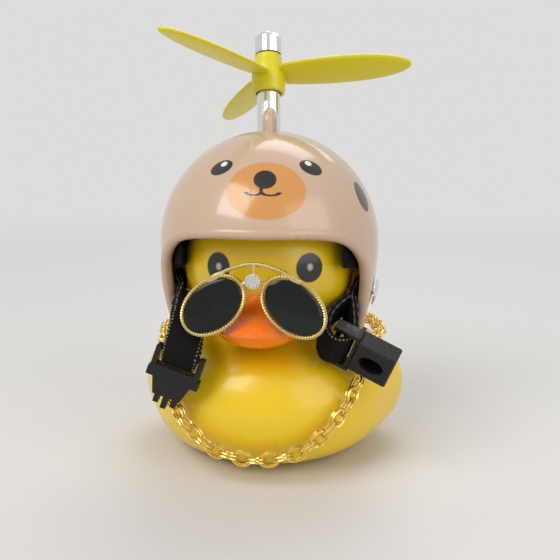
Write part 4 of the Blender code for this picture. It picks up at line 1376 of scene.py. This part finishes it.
class Glasses:
    """The gold sunglasses with their crystal."""

    def __init__(self, sizes: GlassesSizes) -> None:
        """Place the glasses.

        Args:
            sizes: Their sizes.
        """
        self.sizes = sizes
        self.matrix = placed(sizes.centre, (sizes.nod, 0.0, 0.0))

    def outline(self, side: Side, count: int, grow: float = 0.0) -> list[Vector]:
        """Give the slanted outline of one lens.

        Args:
            side: Which lens.
            count: How many points.
            grow: Added to both half sizes.

        Returns:
            Points in the row frame.
        """
        s = self.sizes
        slant = math.radians(s.slant) * side.value
        points = []
        for x, z in circle(1.0, count):
            x, z = x * (s.half_length + grow), z * (s.half_height + grow)
            flat = Vector((side.value * s.spacing + x * math.cos(slant) + z * math.sin(slant), 0.0,
                           z * math.cos(slant) - x * math.sin(slant)))
            points.append(self.matrix @ flat)
        return points

    def twisted(self, wire: MeshBuilder, path: Sequence[Vector], turns: int, closed: bool) -> None:
        """Wind two strands round each other along a path.

        Args:
            wire: The wire under construction.
            path: The centre line.
            turns: Whole turns of the twist.
            closed: Whether the path returns to its start.
        """
        s = self.sizes
        forward = (self.matrix.to_3x3() @ Vector((0.0, 1.0, 0.0))).normalized()
        offset = s.wire - s.strand
        for start in (0.0, math.pi):
            strand = []
            for index, (point, along) in enumerate(zip(path, tangents(path, closed))):
                turn = start + FULL_TURN * turns * index / len(path)
                side = along.cross(forward).normalized()
                strand.append(point + side * offset * math.cos(turn) + forward * offset * math.sin(turn))
            wire.tube(strand, s.strand, s.strand_sides, forward, closed)

    def build(self, finishes: Finishes) -> None:
        """Build the wire, the lenses and the crystal.

        Args:
            finishes: The materials.
        """
        s = self.sizes
        wire = MeshBuilder("glasses_twisted_wire")
        for side in Side:
            self.twisted(wire, self.outline(side, s.rim_steps), s.rim_twists, True)
            self.add_arm(wire, side)
            self.add_gusset(wire, side)
            self.build_lens(side, finishes)
        knots = [(share * s.brow_half_span, 0.0, height) for share, height in s.brow]
        arch = smooth_path(knots, s.brow_steps)
        self.twisted(wire, [self.matrix @ point for point in arch], s.brow_twists, False)
        for thin in (smooth_path(s.bridge, s.steps), [Vector(point) for point in s.prong]):
            laid = [self.matrix @ point for point in thin]
            wire.tube(laid, s.thin_share * s.wire, s.thin_sides, (0.0, 1.0, 0.0))
        wire.finish(finishes.wire.material, Body.DUCK, ("glasses_frame",), "frame_gold")
        self.build_crystal(finishes)

    def add_gusset(self, wire: MeshBuilder, side: Side) -> None:
        """Add the solid tongue where the brow wire meets a rim.

        Args:
            wire: The wire under construction.
            side: Which rim.
        """
        s = self.sizes
        span = side.value * s.brow_half_span
        path = smooth_path([(share * span, 0.0, height) for share, height in s.gusset], s.gusset_steps)
        rings = []
        for index, point in enumerate(path):
            bulge = math.sin(math.pi * (index + 0.5) / len(path))
            height = s.gusset_height * s.wire * (s.gusset_start + (1.0 - s.gusset_start) * bulge)
            centre = point + Vector((0.0, 0.0, s.gusset_drop))
            rings.append([self.matrix @ (centre + Vector((0.0, x * s.thin_share * s.wire, z * height)))
                          for x, z in circle(1.0, s.gusset_sides)])
        wire.loft(rings)

    def add_arm(self, wire: MeshBuilder, side: Side) -> None:
        """Add the short arm that rests against the head behind the lens.

        Args:
            wire: The wire under construction.
            side: Which arm.
        """
        s = self.sizes
        outer = max(self.outline(side, s.arm_corners), key=lambda point: side.value * point.x)
        foot = Vector((side.value * s.arm_foot[0], s.arm_foot[1], s.arm_foot[2]))
        path = smooth_path([outer, outer.lerp(foot, 0.5), foot], s.steps)
        wire.tube(path, s.arm_share * s.wire, s.arm_sides, UP)

    def build_lens(self, side: Side, finishes: Finishes) -> None:
        """Build one slightly domed lens.

        Args:
            side: Which lens.
            finishes: The materials.
        """
        s = self.sizes
        centre = self.matrix @ Vector((side.value * s.spacing, 0.0, 0.0))
        forward = self.matrix.to_3x3() @ Vector((0.0, -1.0, 0.0))
        edge = self.outline(side, s.lens_steps, -s.wire - s.lens_seat)
        half = s.lens_thickness / 2
        rings = [[centre + forward * -half], [point - forward * half for point in edge]]
        for share in s.lens_rings:
            bulge = half + s.lens_bulge * (1.0 - share ** 2) - (s.lens_edge if share == 1.0 else 0.0)
            rings.append([centre + (point - centre) * share + forward * bulge for point in edge])
        rings.append([centre + forward * (half + s.lens_bulge)])
        word = side.name.lower()
        lens = MeshBuilder("dark_lens_" + word).loft(rings)
        lens.finish(finishes.lens.material, Body.DUCK, ("lens_" + word,), "lens_dark")

    def build_crystal(self, finishes: Finishes) -> None:
        """Build the faceted stone.

        Args:
            finishes: The materials.
        """
        s = self.sizes
        profile = [(out * s.crystal_radius, up * s.crystal_depth) for out, up in s.stone]
        place = placed((0.0, -s.wire - s.gap - s.crystal_depth / 2, s.crystal_height), (90.0, 0.0, 0.0))
        stone = MeshBuilder("crystal_stone").lathe(profile, s.facets, self.matrix @ place)
        stone.finish(finishes.crystal.material, Body.DUCK, ("crystal",), "crystal", angle=0.0)


@dataclass(frozen=True)
class Chain:
    """The gold chain round the duck's neck, as pairs of oval rings."""

    sizes: ChainSizes
    duck: DuckForm

    def path(self) -> list[Vector]:
        """Give the closed centre line.

        Returns:
            Its points.
        """
        s = self.sizes
        right = smooth_path([(math.radians(turn), height, 0.0) for turn, height in s.route], s.steps)
        rows = self.duck.sections(s.steps)
        points = [self.duck.above(turn, height, s.standoff, rows) for turn, height, _ in right]
        return points + [Vector((-point.x, point.y, point.z)) for point in points[-2:0:-1]]

    def link_frame(self, points: Sequence[Vector], index: int, tilt: float) -> Matrix:
        """Give one link's frame, X along the chain.

        Args:
            points: Even points of the chain.
            index: Which link.
            tilt: Turn about the chain, in degrees.

        Returns:
            The frame.
        """
        d = self.duck.sizes
        centre = points[index]
        along = (points[(index + 1) % len(points)] - points[index - 1]).normalized()
        outward = Vector((centre.x, centre.y - (d.back - d.front) / 2, self.sizes.facing * d.belly_height))
        outward = (outward - along * outward.dot(along)).normalized()
        basis = Matrix((along, outward.cross(along), outward)).transposed().to_4x4()
        return Matrix.Translation(centre) @ basis @ Matrix.Rotation(math.radians(tilt), 4, "X")

    def build(self, finishes: Finishes) -> None:
        """Build every link.

        Args:
            finishes: The materials.
        """
        s = self.sizes
        path = self.path()
        total = sum((b - a).length for a, b in zip(path, path[1:] + path[:1]))
        count = 2 * round(total / s.pitch / 2)
        points, pitch = even_path(path, count)
        reach = sum(1 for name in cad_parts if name.startswith("chain_ring_")) // 4
        back = MeshBuilder("chain_links_behind")
        for index in range(-reach, count - reach):
            matrix = self.link_frame(points, index % count, s.flat_tilt if index % 2 else s.edge_tilt)
            for side, word in ((1, "a"), (-1, "b")):
                front = index <= reach
                label = f"{index + reach + 1:02d}{word}"
                ring = MeshBuilder("link_" + label) if front else back
                self.add_ring(ring, matrix @ Matrix.Translation((0.0, 0.0, side * s.apart)), pitch)
                if front:
                    ring.finish(finishes.gold.material, Body.DUCK, ("chain_ring_" + label,), "chain_gold")
        back.finish(finishes.gold.material, Body.DUCK, ("chain_back",), "chain_gold")

    def add_ring(self, ring: MeshBuilder, matrix: Matrix, pitch: float) -> None:
        """Add one oval ring.

        Args:
            ring: The mesh under construction.
            matrix: The ring's frame.
            pitch: Distance between links.
        """
        s = self.sizes
        length, width = pitch + s.overlap, s.link_width - 2 * s.wire
        points = [matrix @ Vector((length / 2 * x, width / 2 * y, 0.0)) for x, y in circle(1.0, s.ring_steps)]
        ring.tube(points, s.wire, s.ring_sides, matrix.to_3x3() @ Vector(UP), closed=True)


class Hardware:
    """CAD nodes that are shown as they are, with finishes and rounded edges."""

    @staticmethod
    def build(finishes: Finishes) -> None:
        """Give each node its finish.

        Args:
            finishes: The materials.
        """
        plans: tuple[tuple[str, Shader, float], ...] = (
            ("propeller_post", finishes.chrome, 0.0), ("post_cap", finishes.chrome, 0.0003),
            ("rivet_left", finishes.chrome, 0.0), ("rivet_right", finishes.chrome, 0.0),
            ("buckle_socket", finishes.buckle, 0.00025), ("buckle_plug", finishes.buckle, 0.0003),
            ("squeaker", finishes.squeaker, 0.0),
        )
        for name, finish, edge_width in plans:
            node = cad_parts[name]
            node.data.materials.clear()
            node.data.materials.append(finish.material)
            if edge_width:
                node.modifiers.new("weld", "WELD").merge_threshold = WELD_DISTANCE
                bevel = node.modifiers.new("rounded edges", "BEVEL")
                bevel.width = edge_width
                bevel.segments = 3
                bevel.limit_method = "ANGLE"
                bevel.angle_limit = math.radians(35.0)
            LOG.info("%s: finish %s", name, finish.material.name)


@dataclass(frozen=True)
class Lamp:
    """A square soft light that faces the object; power in watts."""

    name: str
    place: Triple
    size: float
    power: float


@dataclass(frozen=True)
class StudioSizes:
    """The floor's fade, the lamps and the photograph's view."""

    floor_radius: float = 6.0
    floor_drop: float = -0.00005
    fade_start: float = 0.15
    fade_end: float = 0.85
    daylight: float = 0.42
    lamps: tuple[Lamp, ...] = (
        Lamp("key", (-0.45, -0.55, 0.75), 0.55, 4.9), Lamp("fill", (0.65, -0.50, 0.40), 0.70, 2.3),
        Lamp("rim", (0.10, 0.60, 0.80), 0.60, 2.6),
    )
    aim: Triple = (0.0, 0.0, 0.06)
    camera: Triple = (0.02742, -0.22332, 0.0950)
    heading: float = 6.18
    pitch: float = 10.5
    lens: float = 46.93
    sensor: float = 36.0
    nearest: float = 0.01


@dataclass(frozen=True)
class Studio:
    """Floor, background, lights and camera."""

    sizes: StudioSizes

    def build(self) -> None:
        """Build the whole studio."""
        self.build_floor()
        self.build_world()
        for lamp in self.sizes.lamps:
            data = bpy.data.lights.new(lamp.name, "AREA")
            data.shape = "SQUARE"
            data.size = lamp.size
            data.energy = lamp.power
            self.add(lamp.name, data, lamp.place, Vector(self.sizes.aim) - Vector(lamp.place))
        self.place_camera()

    @staticmethod
    def add(name: str, data: bpy.types.ID, place: Sequence[float], forward: Vector) -> bpy.types.Object:
        """Add an object that looks along a direction.

        Args:
            name: Its name.
            data: Its lamp or camera.
            place: Where it stands.
            forward: Where it looks.

        Returns:
            The object.
        """
        made = bpy.data.objects.new(name, data)
        made.location = place
        made.rotation_euler = forward.to_track_quat("-Z", "Y").to_euler()
        bpy.context.scene.collection.objects.link(made)
        return made

    def build_floor(self) -> None:
        """Build a pale floor that fades into the background further off."""
        s = self.sizes
        finish = Shader("studio floor", Colour.FLOOR, (8.0, 0.55, 0.65))
        far = finish.ramp(finish.length(finish.place), s.fade_start, s.fade_end)
        inputs = {0: finish.math("MULTIPLY", far, finish.seen("Glossy")), 1: finish.shader.outputs["BSDF"],
                  2: finish.node("Emission", {"Color": Colour.BACKGROUND.opaque})}
        finish.feed(finish.nodes["Material Output"].inputs["Surface"], finish.node("MixShader", inputs))
        bm = bmesh.new()
        bmesh.ops.create_circle(bm, cap_ends=True, segments=96, radius=s.floor_radius)
        bmesh.ops.translate(bm, vec=(0.0, 0.0, s.floor_drop), verts=bm.verts[:])
        mesh = bpy.data.meshes.new("studio_sweep")
        bm.to_mesh(mesh)
        bm.free()
        mesh.shade_smooth()
        mesh.materials.append(finish.material)
        floor = bpy.data.objects.new("studio_sweep", mesh)
        bpy.context.scene.collection.objects.link(floor)

    def build_world(self) -> None:
        """Light the scene softly, and show the background to the camera, gloss and glass."""
        world = bpy.data.worlds.new("studio world")
        bpy.context.scene.world = world
        world.use_nodes = True
        tree = Nodes(world.node_tree)
        tree.nodes.clear()
        light = tree.node("Background", {"Color": Colour.DAYLIGHT.opaque, "Strength": self.sizes.daylight})
        pale = tree.node("Background", {"Color": Colour.BACKGROUND.opaque})
        output = tree.nodes.new("ShaderNodeOutputWorld")
        seen = tree.seen("Glossy", "Transmission")
        tree.feed(output.inputs["Surface"], tree.node("MixShader", {0: seen, 1: light, 2: pale}))

    def place_camera(self) -> None:
        """Set the photograph's view."""
        s = self.sizes
        heading, pitch = math.radians(s.heading), math.radians(s.pitch)
        forward = Vector((-math.sin(heading) * math.cos(pitch), math.cos(heading) * math.cos(pitch),
                          -math.sin(pitch)))
        data = bpy.data.cameras.new("camera")
        data.sensor_width = s.sensor
        data.lens = s.lens
        data.clip_start = s.nearest
        bpy.context.scene.camera = self.add("camera", data, s.camera, forward)
        bpy.context.scene.view_settings.view_transform = "Standard"


def main() -> None:
    """Build the object's looks in order."""
    form, duck = HelmetForm(HelmetSizes()), DuckForm(DuckSizes())
    finishes = Finishes(form)
    for builder in (duck, Helmet(form), Propeller(PropellerSizes(), form.sizes.centre), Hardware(),
                    Straps(StrapSizes(), form), Glasses(GlassesSizes()), Chain(ChainSizes(), duck)):
        builder.build(finishes)
        LOG.info("%s done", type(builder).__name__)
    Studio(StudioSizes()).build()


if __name__ == "__main__":
    main()
